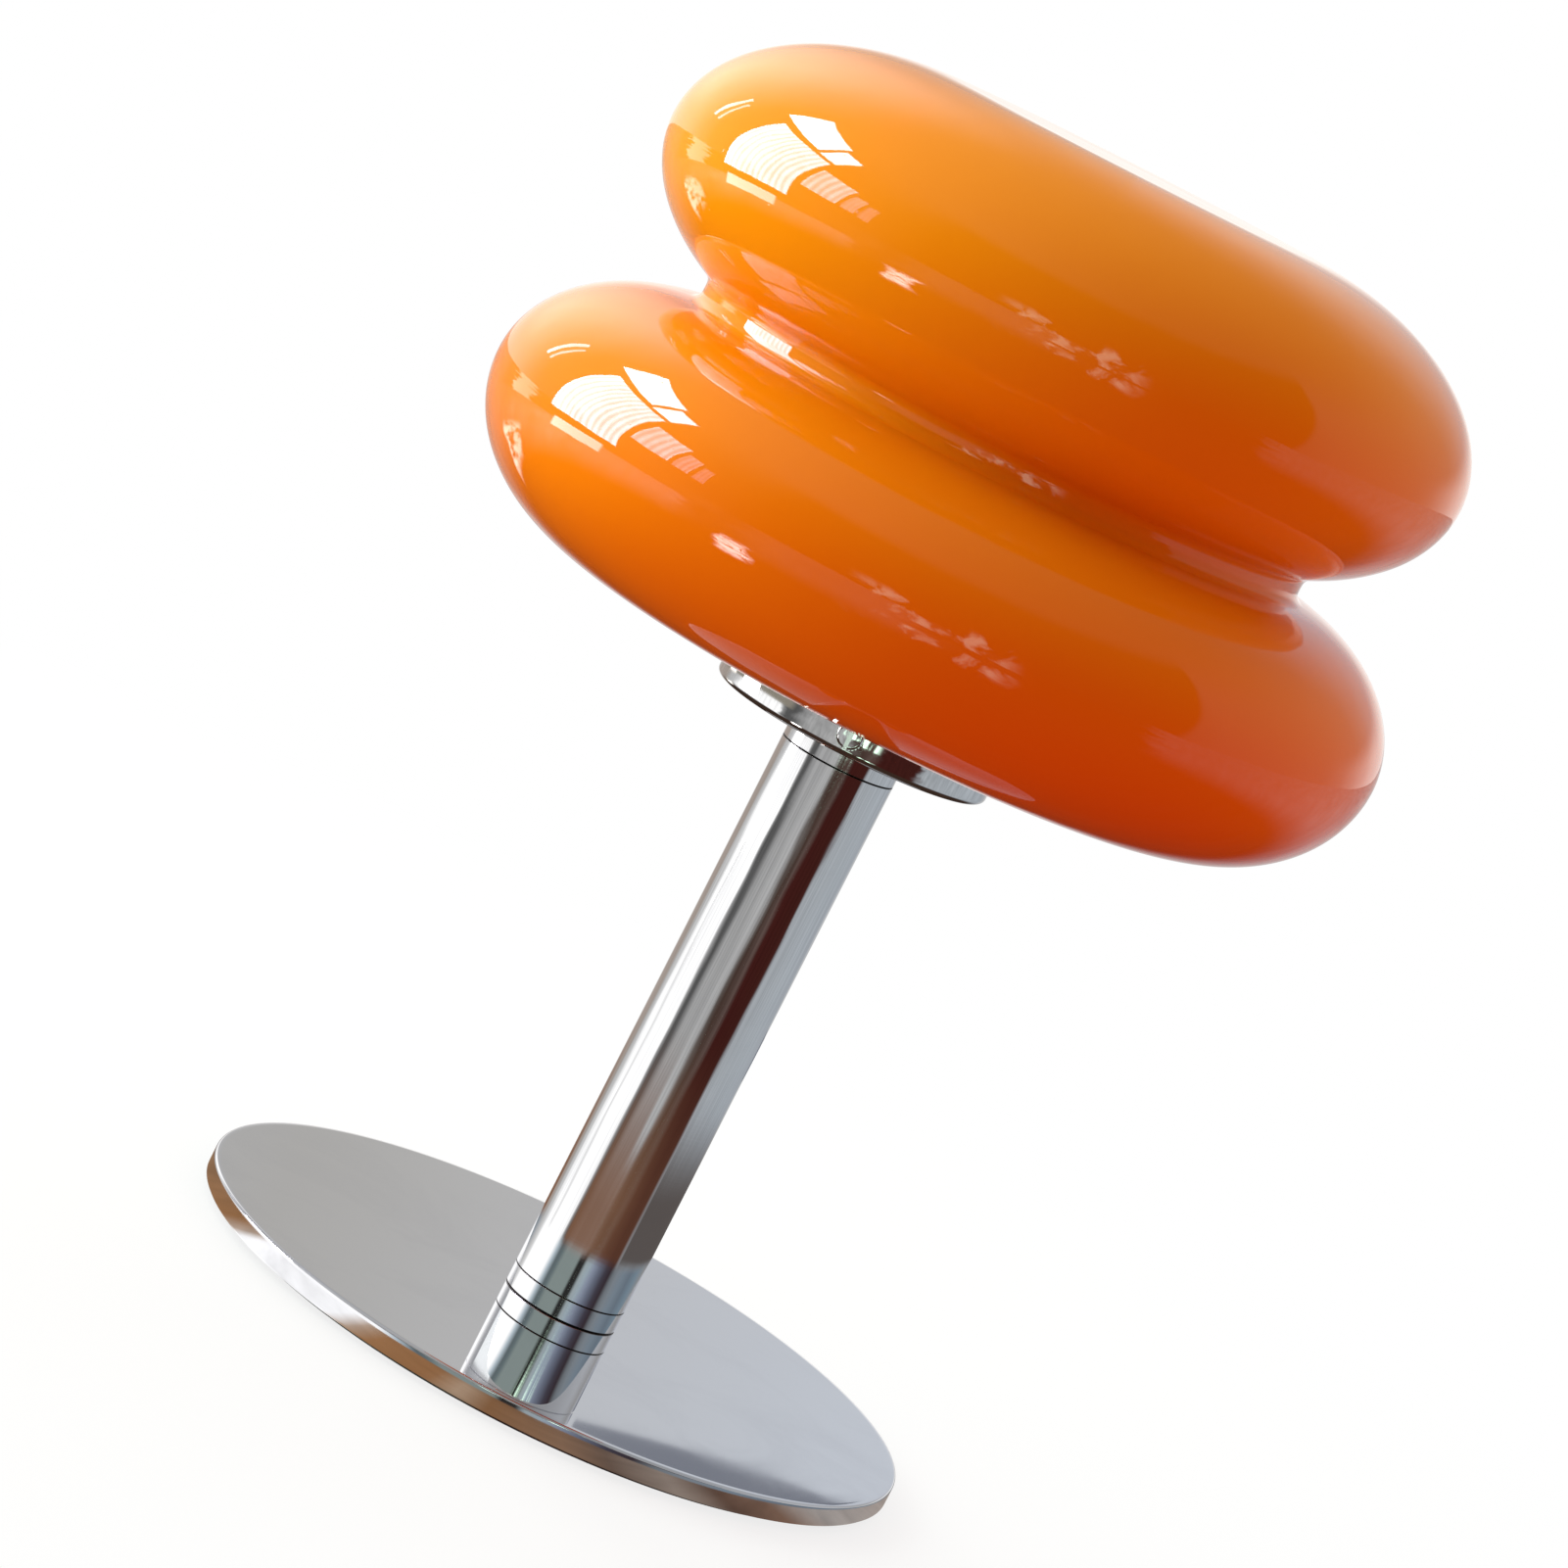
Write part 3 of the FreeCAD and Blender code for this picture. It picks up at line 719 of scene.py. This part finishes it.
def knob_mesh(shank):
    """A slotted screw with a ribbed head, upright on its tip."""
    head_r, head_t = 3.2, 3.2
    round_r, core = head_t * 0.2, head_r - 0.22
    tip_r, tip_t, shank_r = 1.1, 1.0, 1.5
    top = shank + head_t
    outline = [(0, 0), (tip_r, 0), (tip_r, tip_t), (shank_r, tip_t), (shank_r, shank)]
    outline += arc(core - round_r, shank + round_r, round_r, -90, 0, 5)
    outline += arc(core - round_r, top - round_r, round_r, 0, 90, 5) + [(0, top)]
    slot_size = Matrix.Diagonal((0.9 * MM, 9 * MM, 2 * MM, 1))
    work = bmesh.new()
    bmesh.ops.create_cube(work, size=1.0, matrix=Matrix.Translation((0, 0, top * MM)) @ slot_size)
    slot_tool = bpy.data.meshes.new("slot_tool")
    work.to_mesh(slot_tool)
    work.free()
    knob = cut_mesh(turned("knob", outline, 64, origin), slot_tool)
    ribs = ribs_mesh("gallery_chrome", shank + head_t / 2, count=26, grip_r=core - 0.02, rib_r=0.24,
                     length=head_t - 2 * round_r, axis=origin)
    thread = thread_mesh("gallery_chrome", 1.4, turns=8.0, radius=1.42, height=4.0, ridge=0.12, axis=origin)
    return joined("knob_screw", knob, ribs, thread)


def build_holding_screws():
    """Three screws through the cup's wall, each along its own radius."""
    stand_off, tip_gap, rise = 1.6, 0.3, 4.0
    tip = neck_r + tip_gap
    z = low_z("gallery") + cup_t + rise
    for number, bearing in ((1, -90), (2, 30), (3, 150)):
        knob = knob_mesh(radius_of("gallery") + stand_off - tip)
        turn = math.radians(bearing)
        direction = Vector((math.cos(turn), math.sin(turn), 0))
        start = stem_axis + direction * tip * MM + Vector((0, 0, z * MM))
        knob.transform(Matrix.Translation(start) @ direction.to_track_quat("Z", "Y").to_matrix().to_4x4())
        knob.set_sharp_from_angle(angle=math.radians(sharp_turn))
        fit_piece(f"knob_screw_{number}", knob, "gallery_chrome", f"holding_screw_{number}", body=f"screw_{number}")


# Shade
def build_shade():
    shell = turned("blown_shade", shade_outline(), 192, sharp=40.0)
    fit_piece("blown_shade", shell, "shade_glass", "glass_neck", "glass_shoulder", "glass_lower_lobe",
              "glass_upper_lobe", "glass_crown", body="shade")


# Lamp holder and bulb
def build_holder():
    r, wall = radius_of("holder_body"), 1.6
    inner_r = r - wall
    z0, z1 = levels("holder_cap")
    z_floor = z0 + 2 * wall
    outline = [(nipple_bore_r, z0), (inner_r, z0)] + arc(inner_r, z0 + wall, wall, -90, 0, 6)[1:]
    outline += [(r, z1), (inner_r, z1), (inner_r, z_floor), (nipple_bore_r, z_floor)]
    skirt = turned("holder_skirt", outline, 96)
    ribs = ribs_mesh("holder_plastic", (z0 + wall + z1) / 2, count=36, grip_r=r - 0.32, rib_r=0.5, length=7.0)
    fit_piece("holder_skirt", joined("holder_skirt", skirt, ribs), "holder_plastic", "holder_cap")
    z_lap, z2 = levels("holder_body")
    shell_r, shell_t = radius_of("holder_shell"), 0.5
    z_socket, z_mouth = levels("holder_shell")
    lap_r, bore = inner_r - fit_gap, shell_r + fit_gap
    outline = [(0, z_lap), (lap_r, z_lap), (lap_r, z1), (r, z1)] + arc(inner_r, z2 - wall, wall, 0, 90, 6)
    outline += [(bore, z2), (bore, z_socket), (0, z_socket)]
    fit_piece("holder_barrel", turned("holder_barrel", outline, 96), "holder_plastic", "holder_body")
    sleeve = turned("socket_sleeve", ring_outline(shell_r - shell_t, shell_r, z_socket, z_mouth), 96)
    ridge = thread_mesh("holder_brass", z_socket + 1.2, turns=5.0, radius=shell_r - 0.42, height=13.5, ridge=0.3)
    fit_piece("socket_sleeve", joined("socket_sleeve", sleeve, ridge), "holder_brass", "holder_shell")
    fair_piece("socket_contact", "holder_brass", "holder_contact")


def build_bulb():
    r, wall, step, foot_r = radius_of("bulb_cap"), 0.4, 0.2, 0.3
    z0, z1 = levels("bulb_cap")
    outline = [(r - wall, z0)] + arc(r - step - foot_r, z0 + foot_r, foot_r, -90, 0, 4)
    outline += [(r - step, z0 + 1.2), (r - step, z1 - 2.2), (r, z1 - 1.9), (r, z1), (r - wall, z1)]
    cap = turned("bulb_base", outline, 96)
    ridge = thread_mesh("bulb_metal", z0 + 1.6, turns=3.6, radius=r - 0.5, height=10.0, ridge=0.48)
    fit_piece("bulb_base", joined("bulb_base", cap, ridge), "bulb_metal", "bulb_cap", body="bulb")
    neck, flare, ball = r - 0.45, 10.0, radius_of("bulb_globe")
    z_foot, z_top = levels("bulb_globe")
    z_ball = z_top - ball
    flare_r = neck + flare
    flare_z = z_ball - math.sqrt((flare + ball) ** 2 - flare_r ** 2)
    bend = math.degrees(math.atan2(z_ball - flare_z, -flare_r))
    outline = [(0, z_foot), (neck, z_foot)] + arc(flare_r, flare_z, flare, 180, bend, 12)
    outline += arc(0, z_ball, ball, bend - 180, 90, 40)[1:-1] + [(0, z_ball + ball)]
    fit_piece("bulb_envelope", turned("bulb_envelope", outline, 128), "bulb_glass", "bulb_globe", body="bulb")
    fair_piece("bulb_button", "bulb_metal", "bulb_tip", body="bulb")
    fair_piece("bulb_collar", "bulb_insulator", "bulb_insulator", body="bulb")


build_base()
build_stem()
build_gallery()
build_holding_screws()
build_shade()
build_holder()
build_bulb()


# Stage: a pale floor, and a plain room that only the chrome and the glass mirror.
# Its lengths are in metres, apart from outlines.
stem_foot = (stem_axis.x, stem_axis.y, 0.0)
shade_height = 0.2
to_degrees = 180 / math.pi


def seen(path):
    """1 for what the camera sees, straight or by way of a mirror or clear glass."""
    mirrored = path["Is Glossy Ray"].maths("MAXIMUM", path["Is Transmission Ray"])
    return path["Is Camera Ray"].maths("MAXIMUM", mirrored)


def within(path, reach):
    """1 for a mirror nearer than the reach."""
    return path["Ray Length"].maths("LESS_THAN", reach)


def mirror_card(name, build):
    """A material for a card that mirrors show and soft light passes by.

    The builder wires its colour, its strength and where it shows.
    """
    material, tree = blank_material(name)
    path = wires(tree, "ShaderNodeLightPath")
    colour, strength, shown = build(tree, path)
    first = path["Diffuse Depth"].maths("LESS_THAN", 0.5)
    light = wired(tree, "ShaderNodeEmission", {"Color": colour, "Strength": first * strength})
    if shown is not None:
        clear = wired(tree, "ShaderNodeBsdfTransparent")
        light = wired(tree, "ShaderNodeMixShader", {0: shown, 1: clear, 2: light})
    node(tree, "ShaderNodeOutputMaterial", {"Surface": light})
    return material


def stage_piece(mesh, material, mirror_only=True):
    mesh.materials.append(material)
    piece = placed(mesh.name, mesh)
    if mirror_only:
        piece.visible_camera = piece.visible_diffuse = piece.visible_shadow = False


def around(bearing, distance, height):
    """A point about the stem. Bearing 0 is towards the camera and positive to its right."""
    turn = math.radians(bearing)
    return (stem_axis.x + distance * math.sin(turn), stem_axis.y - distance * math.cos(turn), height)


def strip_mesh(name, pairs):
    """A strip of faces between pairs of points."""
    points = [point for pair in pairs for point in pair]
    faces = [(2 * k, 2 * k + 1, 2 * k + 3, 2 * k + 2) for k in range(len(pairs) - 1)]
    return add_faces(name, points, faces)


def band_mesh(name, first, last, inner, outer):
    """A curved strip between two bearings, from an inner edge to an outer edge given as (distance, height)."""
    count = max(2, int(abs(last - first) / 3))
    bearings = [first + (last - first) * k / count for k in range(count + 1)]
    return strip_mesh(name, [(around(bearing, *inner), around(bearing, *outer)) for bearing in bearings])


def bearing_of(tree, centre):
    """A stage point's bearing in degrees, its offset and its distance, seen from a centre."""
    where = wired(tree, "ShaderNodeTexCoord", output="Object")
    offset = where.to("ShaderNodeVectorMath", {0: where, 1: centre}, operation="SUBTRACT")
    distance = offset.to("ShaderNodeVectorMath", {0: offset}, "Value", operation="LENGTH")
    turn = offset.part("X").maths("ARCTAN2", offset.part("Y") * -1.0)
    return turn * to_degrees, offset, distance


thing_colour = (2.4, 3.3, 2.6)


def far_things(bearing, level):
    """Pale blurred things ahead, by bearing in degrees and the sine of the elevation."""
    spread = (bearing * 0.11).beside(level * 3.2)
    return spread.noise(1.0, 4.0, 0.6, 0.6).ranged(0.5, 0.62) * bearing.between(-18.0, 28.0, 9.0)


def room_colours(tree, path):
    """Walls and ceiling: dark in front, with a soft top and a firm right edge, and brightest at the back left."""
    bearing, offset, distance = bearing_of(tree, (stem_axis.x, stem_axis.y, shade_height))
    level = offset.part("Z") / distance
    rise = level.maths("ARCSINE") * to_degrees
    wall = bearing.by_bearing([
        (-180, 0.54), (-176, (0.475, 0.465, 0.445)), (-172, 0.49), (-166, 0.9), (-155, 1.45), (-147, 1.5),
        (-137, 1.15), (-122, 0.45), (-60, 0.18), (-40, 0.1), (60, 0.2), (82, 0.38), (140, 0.36),
        (160, (0.55, 0.57, 0.62)), (175, (0.61, 0.65, 0.71)), (180, (0.57, 0.585, 0.61))])
    low_back = bearing.maths("ABSOLUTE").smooth(120.0, 155.0) * rise.fading(2.0, 11.0)
    wall = low_back.blend(wall, (1.05, 1.04, 1.02))
    to_left = (offset.part("X") / distance).smooth(0.3, -0.8)
    ceiling = to_left.blend((0.2, 0.19, 0.18), (0.5, 0.48, 0.45))
    light = rise.smooth(26.0, 58.0).blend(wall, ceiling)
    leaning = bearing - rise * 0.27
    front = bearing.smooth(-62.0, -34.0) * leaning.fading(69.0, 72.0) * rise.fading(42.0, 52.0)
    things = far_things(bearing, level) * rise.fading(3.0, 10.0)
    ahead = things.blend((0.028, 0.02, 0.016), thing_colour)
    return front.blend(light, ahead), 1.0, None


def table_glare(bearing, swayed, distance):
    """The table's glare in bands about the stem, near it and past the base's edge."""
    far = swayed.by_bearing([
        (-180, 0.95), (-172, 0.72), (-160, (0.46, 0.39, 0.35)), (-134, (0.42, 0.36, 0.32)), (-125, 0.55),
        (-116, 0.72), (-108, 1.3), (-100, 1.35), (-96, 0.9), (-91, 1.3), (-61, 1.28), (-57, 0.42),
        (-51, 0.1), (-45, 0.12), (-39, 0.32), (-32, 0.44), (-20, 0.4), (-12, 0.5), (-3, 0.47),
        (5, (0.13, 0.11, 0.1)), (12, (0.07, 0.042, 0.033)), (22, (0.12, 0.08, 0.07)),
        (30, (0.055, 0.012, 0.01)), (60, (0.055, 0.014, 0.011)), (66, (0.42, 0.45, 0.48)),
        (120, (0.44, 0.48, 0.52)), (150, (0.4, 0.43, 0.47)), (165, 0.6), (173, 0.85), (180, 0.95)])
    near = bearing.by_bearing([
        (-180, 0.3), (-142, (0.27, 0.31, 0.35)), (-125, 0.58), (-116, 0.75), (-108, 1.3), (-63, 1.25),
        (-55, (0.52, 0.61, 0.67)), (-47, (0.12, 0.15, 0.16)), (-42, (0.14, 0.18, 0.19)),
        (-35, (0.25, 0.3, 0.29)), (-9, (0.25, 0.3, 0.29)), (-5, 0.025), (3, 0.03), (8, (0.36, 0.42, 0.44)),
        (16, (0.36, 0.44, 0.5)), (24, (0.27, 0.31, 0.4)), (34, (0.15, 0.17, 0.23)),
        (46, (0.06, 0.055, 0.075)), (56, (0.04, 0.028, 0.035)), (64, (0.17, 0.19, 0.21)),
        (72, (0.22, 0.25, 0.28)), (85, (0.2, 0.25, 0.3)), (102, (0.15, 0.19, 0.235)),
        (121, (0.19, 0.26, 0.32)), (150, 0.3), (180, 0.3)])
    lines = (bearing * 0.42).beside(distance * 2.0).noise(1.0, 3.0).ranged(0.3, 0.7, 0.8, 1.12)
    past_edge = distance.smooth(0.178, 0.195)
    glare = past_edge.blend(near, far.tinted(lines))
    off_window = (bearing + 98.0).maths("ABSOLUTE").smooth(41.0, 50.0)
    streak_ahead = bearing.between(-14.0, 4.0, 5.0) * distance.smooth(0.28, 0.36)
    right = bearing.smooth(60.0, 67.0)
    wood = past_edge * distance.fading(0.22, 0.52) * off_window * streak_ahead.maths("MAXIMUM", right).flipped()
    wood = wood * bearing.ranged(-5.0, 45.0, 0.9, 0.3)
    glare = wood.blend(glare, (0.235, 0.115, 0.065))
    right_wood = right * past_edge * distance.fading(0.26, 0.42)
    return right_wood.blend(glare, (0.11, 0.095, 0.09))


def table_colours(tree, path):
    """Table top as mirrors show it: glare in bands at a low angle, and dark wood from higher up."""
    bearing, offset, distance = bearing_of(tree, stem_foot)
    swayed = bearing + offset.noise(3.5, 2.0).ranged(0.3, 0.7, -4.0, 4.0)
    facing = wired(tree, "ShaderNodeLayerWeight", {"Blend": 0.5}, "Facing")
    beyond = distance.smooth(1.2, 1.26)
    left = beyond * bearing.between(-146.0, -46.0, 8.0)
    glare = left.blend(table_glare(bearing, swayed, distance), (0.3, 0.27, 0.22))
    edge = beyond * swayed.between(-134.0, -119.0, 3.0)
    glare = edge.blend(glare, (2.3, 2.15, 1.9))
    grain = offset.stretched((1.0, 9.0, 1.0)).noise(6.0, 4.0).ranged(0.3, 0.7)
    dark = grain.blend((0.03, 0.017, 0.012), (0.06, 0.034, 0.024))
    whole = facing.smooth(0.52, 0.74).blend(dark, glare)
    things = far_things(bearing, facing - 1.0) * facing.smooth(0.5, 0.62)
    things = things * beyond.maths("MAXIMUM", facing.fading(0.715, 0.74))
    whole = things.blend(whole, thing_colour)
    spot = swayed.between(-48.0, -36.0, 3.0) * facing.between(0.44, 0.66, 0.06)
    spot = spot * offset.noise(30.0, 3.0).ranged(0.38, 0.54, 0.12, 1.0)
    whole = spot.blend(whole, (15.0, 14.5, 14.0))
    streak = swayed.between(-140.0, -121.0, 3.0) * facing.between(0.53, 0.7, 0.04)
    streak = streak * offset.noise(16.0, 3.0).ranged(0.38, 0.55)
    whole = streak.blend(whole, (3.2, 3.0, 2.7))
    strip = bearing.between(-107.0, -85.0, 1.0) * distance.between(0.88, 1.4, 0.03)
    return strip.blend(whole, (9.0, 8.8, 8.6)), 1.0, None


def rim_wood_colours(tree, path):
    """The strip of table just outside the base, which its rim mirrors: brown wood with the window at the left."""
    bearing, offset, _ = bearing_of(tree, (0.0, 0.0, 0.0))
    colours = bearing.by_bearing([
        (-180, (0.3, 0.28, 0.27)), (-110, (0.26, 0.17, 0.11)), (-64, (0.34, 0.17, 0.075)),
        (-59, (0.55, 0.42, 0.33)), (-56, 1.25), (-32, 1.15), (-28, (0.5, 0.36, 0.26)),
        (-24, (0.38, 0.19, 0.085)), (-13, (0.31, 0.15, 0.065)), (-8, (0.44, 0.31, 0.21)),
        (-3, (0.26, 0.13, 0.06)), (10, (0.27, 0.16, 0.1)), (18, (0.15, 0.1, 0.075)),
        (30, (0.3, 0.24, 0.2)), (40, (0.12, 0.07, 0.05)), (52, (0.22, 0.13, 0.09)),
        (64, (0.42, 0.38, 0.35)), (100, (0.36, 0.3, 0.27)), (180, (0.3, 0.28, 0.27))])
    grain = offset.stretched((2.0, 8.0, 1.0)).noise(14.0, 3.0).ranged(0.3, 0.7, 0.84, 1.1)
    return colours, grain, within(path, 0.0245)


def floor_finish():
    """Pale floor: white to the camera and in mirrors, with the object's shadow.

    Its light from below is brightest at the left.
    """
    material, tree = blank_material("pale_floor")
    path = wires(tree, "ShaderNodeLightPath")
    bearing, offset, distance = bearing_of(tree, stem_foot)
    mottle = offset.noise(9.0, 4.0, 0.5).ranged(0.3, 0.7, 0.97, 1.0)
    matt = wired(tree, "ShaderNodeBsdfDiffuse", {"Color": mottle.blend((0, 0, 0), (0.87, 0.92, 1.0))})
    white = wired(tree, "ShaderNodeEmission", {"Color": (1, 1, 1)})
    plain = distance.ranged(0.1, 0.6, 0.82, 1.0)
    shown = wired(tree, "ShaderNodeMixShader", {0: plain, 1: matt, 2: white})
    glow = bearing.by_bearing([
        (-180, (0.5, 0.44, 0.38)), (-145, (1.12, 1.2, 0.95)), (-95, (1.36, 1.62, 1.15)),
        (-62, (1.1, 1.22, 0.7)), (-25, (0.84, 0.34, 0.15)), (20, (0.67, 0.09, 0.05)),
        (62, (0.7, 0.17, 0.1)), (95, (0.8, 0.46, 0.35)), (140, (0.62, 0.44, 0.37)), (180, (0.5, 0.44, 0.38))])
    below = wired(tree, "ShaderNodeEmission", {
        "Color": glow, "Strength": distance.ranged(0.03, 0.34, 0.3, 1.0)})
    mix = wired(tree, "ShaderNodeMixShader", {0: seen(path), 1: below, 2: shown})
    node(tree, "ShaderNodeOutputMaterial", {"Surface": mix})
    return material


def low_sky_colours(tree, path):
    """What the top of the base mirrors for a viewer at the sides or behind: soft greys, lighter further out."""
    bearing, _, distance = bearing_of(tree, stem_foot)
    greys = bearing.by_bearing([
        (-180, 0.46), (-120, (0.5, 0.51, 0.53)), (-80, (0.66, 0.67, 0.69)), (-40, (0.48, 0.47, 0.46)),
        (10, (0.36, 0.35, 0.34)), (60, (0.42, 0.43, 0.45)), (110, (0.56, 0.58, 0.61)), (180, 0.48)])
    from_below = wired(tree, "ShaderNodeNewGeometry", output="Backfacing")
    shown = from_below * bearing.maths("ABSOLUTE").fading(112.0, 145.0) * within(path, 0.42)
    return greys, distance.ranged(0.05, 0.36, 0.72, 1.15), shown


def foot_glow_colours(tree, path):
    """The window's light that the foot shows by way of the base."""
    twice = path["Glossy Depth"].maths("GREATER_THAN", 1.5)
    return (0.97, 1.0, 1.0), 1.25, twice * within(path, 0.155)


# A dark card that the base top mirrors close by: a painted shadow of the stem's foot
def stem_shadow_card_colours(tree, path):
    return (0.21, 0.225, 0.265), 1.0, within(path, 0.24)


def stem_shadow_card_mesh():
    """A dark card close behind the base, which mirrors its lower edge as a painted shadow of the stem's foot on the
    base top. That edge falls to the right in a curve.
    """
    count, left, right, behind = 12, 0.017, 0.095, 0.115
    low, high, lift = 0.049, 0.065, 0.0128
    pairs = []
    for share in (k / count for k in range(count + 1)):
        x = left + (right - left) * share
        pairs.append(((x, behind, low + lift * (1 - share) ** 1.5), (x, behind, high)))
    return strip_mesh("shelf", pairs)


def build_stage():
    half, drop = 8.0, -0.0003
    corners = [(-half, -half, drop), (half, -half, drop), (half, half, drop), (-half, half, drop)]
    stage_piece(add_faces("floor", corners, [(0, 1, 2, 3)]), floor_finish(), mirror_only=False)
    room_r, room_z = 4000.0, shade_height / MM
    shell = [(0, room_z + room_r)] + arc(0, room_z, room_r, 85, -5, 18) + [(0, -0.2)]
    wood = ring_outline(87, 116, 0.8, 0.7)
    for mesh, colours in (
            (turned_mesh("room", shell, 64, stem_axis), room_colours),
            (band_mesh("table", -180, 180, (0.0, 0.0004), (3.95, 0.0004)), table_colours),
            (turned_mesh("rim_wood", wood, 96, origin), rim_wood_colours),
            (band_mesh("foot_glow", -113, -57, (0.15, 0.016), (0.15, 0.052)), foot_glow_colours),
            (band_mesh("low_sky", -146, 146, (0.03, 0.045), (0.4, 0.045)), low_sky_colours),
            # the dark card: a painted shadow of the stem's foot on the base top
            (stem_shadow_card_mesh(), stem_shadow_card_colours)):
        stage_piece(mesh, mirror_card(mesh.name, colours))


def pane_colours(period, depth, strength):
    """A window pane behind a thin blind, with its slats upright and a period in degrees."""
    def build(tree, path):
        bearing, offset, _ = bearing_of(tree, stem_foot)
        slats = (bearing * (2 * math.pi / period)).maths("SINE")
        cloth = offset.noise(5.0, 3.0).ranged(0.3, 0.7, 0.85, 1.1)
        return (0.97, 0.92, 1.1), slats.ranged(-1.0, 1.0, strength * (1 - depth), strength) * cloth, None
    return build


def build_window():
    """A tall window at the left with bars between its panes, its side panes, and a curtain's bright edges."""
    away = 1.9
    for name, first, last, low, high, period, depth, strength in (
            ("window_large", -110, -82.5, 0.04, 1.34, 2.4, 0.42, 18.0),
            ("window_upper_left", -117, -92.5, 1.46, 2.05, 2.4, 0.1, 21.0),
            ("window_upper_right", -90.5, -82, 1.42, 1.92, 2.4, 0.1, 21.0),
            ("window_side", -80, -67, 0.46, 1.12, 2.6, 0.5, 11.0),
            ("window_side_far_1", -65.5, -61, 0.46, 0.98, 1.5, 0.5, 5.0),
            ("window_side_far_2", -59.5, -56, 0.44, 0.9, 1.2, 0.5, 3.0),
            ("curtain_edge_1", -129, -127.2, 0.56, 1.1, 9.0, 0.1, 7.0),
            ("curtain_edge_2", -125.4, -124.2, 0.56, 1.04, 9.0, 0.1, 5.0)):
        pane = mirror_card(name, pane_colours(period, depth, strength))
        stage_piece(band_mesh(name, first, last, (away, low), (away, high)), pane)


def soft_light(name, bearing, elevation, size, power, colour, only=()):
    """A soft square of light that mirrors don't show, on the whole object or on some pieces only."""
    distance = 1.7
    lamp = bpy.data.lights.new(name, "AREA")
    lamp.size = size
    lamp.energy = power
    lamp.color = colour
    bearer = placed(name, lamp)
    rise = math.radians(elevation)
    target = stem_axis + Vector((0, 0, shade_height))
    spot = Vector(around(bearing, distance * math.cos(rise), shade_height + distance * math.sin(rise)))
    bearer.location = spot
    bearer.rotation_euler = (target - spot).to_track_quat("-Z", "Y").to_euler()
    bearer.visible_glossy = False
    if only:
        lit = bpy.data.collections.new(name)
        for piece_name in only:
            lit.objects.link(bpy.data.objects[piece_name])
        bearer.light_linking.receiver_collection = lit


def lobe_light(way, bearing, elevation, power):
    """How near a direction is to a bearing and an elevation, from 0 to 1."""
    rise, turn = math.radians(elevation), math.radians(bearing)
    aim = (math.sin(turn) * math.cos(rise), -math.cos(turn) * math.cos(rise), math.sin(rise))
    near = way.to("ShaderNodeVectorMath", {0: way, 1: aim}, "Value", operation="DOT_PRODUCT")
    return near.maths("MAXIMUM", 0.0).maths("POWER", power)


glow_low = (0.36, 0.095, 0.06)
glow_high = (0.37, 0.275, 0.22)
glow_lobes = (  # bearing, elevation, power and colour
    (-106, 18, 1.6, (0.95, 1.12, 1.00)), (-130, 52, 2.0, (0.3, 0.36, 0.32)),
    (115, 6, 2.0, (0.7, 0.6, 0.54)), (180, 20, 2.0, (0.34, 0.37, 0.33)))


def build_light():
    soft_light("window_light", -88, 13, 1.4, 25.0, (0.9, 1.06, 0.92))
    soft_light("back_window_light", -138, 16, 1.0, 10.0, (0.96, 1.0, 0.84))
    soft_light("inner_light", 20, 6, 2.4, 26.0, (0.14, 0.92, 1.0),
               ("bulb_envelope", "holder_skirt", "holder_barrel", "seat_ring"))
    world = bpy.data.worlds.new("studio")
    scene.world = world
    world.use_nodes = True
    tree = world.node_tree
    tree.nodes.clear()
    way = wired(tree, "ShaderNodeTexCoord", output="Generated")
    light = way.part("Z").smooth(0.2, 0.9).blend(glow_low, glow_high)
    for bearing, elevation, power, colour in glow_lobes:
        light = lobe_light(way, bearing, elevation, power).blend(light, colour, "ADD")
    tint = seen(wires(tree, "ShaderNodeLightPath")).blend(light, (1, 1, 1))
    back = wired(tree, "ShaderNodeBackground", {"Color": tint})
    node(tree, "ShaderNodeOutputWorld", {"Surface": back})


def build_camera():
    """The photograph's own view: low, straight on to the stem and rolled."""
    away, eye_height = 1.1815, 0.3356
    yaw, pitch, roll = math.radians(-0.4), math.radians(8.67), math.radians(26.95)
    ahead = Vector((math.sin(yaw) * math.cos(pitch), math.cos(yaw) * math.cos(pitch), -math.sin(pitch)))
    right = Vector((math.cos(yaw), -math.sin(yaw), 0))
    down = ahead.cross(right)
    across = right * math.cos(roll) - down * math.sin(roll)
    below = right * math.sin(roll) + down * math.cos(roll)
    data = bpy.data.cameras.new("camera")
    data.sensor_width = 36.0
    data.lens = 124.54
    data.clip_start = 0.05
    data.clip_end = 60.0
    camera = placed("camera", data)
    turn = Matrix((across, -below, -ahead)).transposed().to_4x4()
    camera.matrix_world = Matrix.Translation((0.0, stem_axis.y - away, eye_height)) @ turn
    scene.camera = camera


build_stage()
build_window()
build_light()
build_camera()
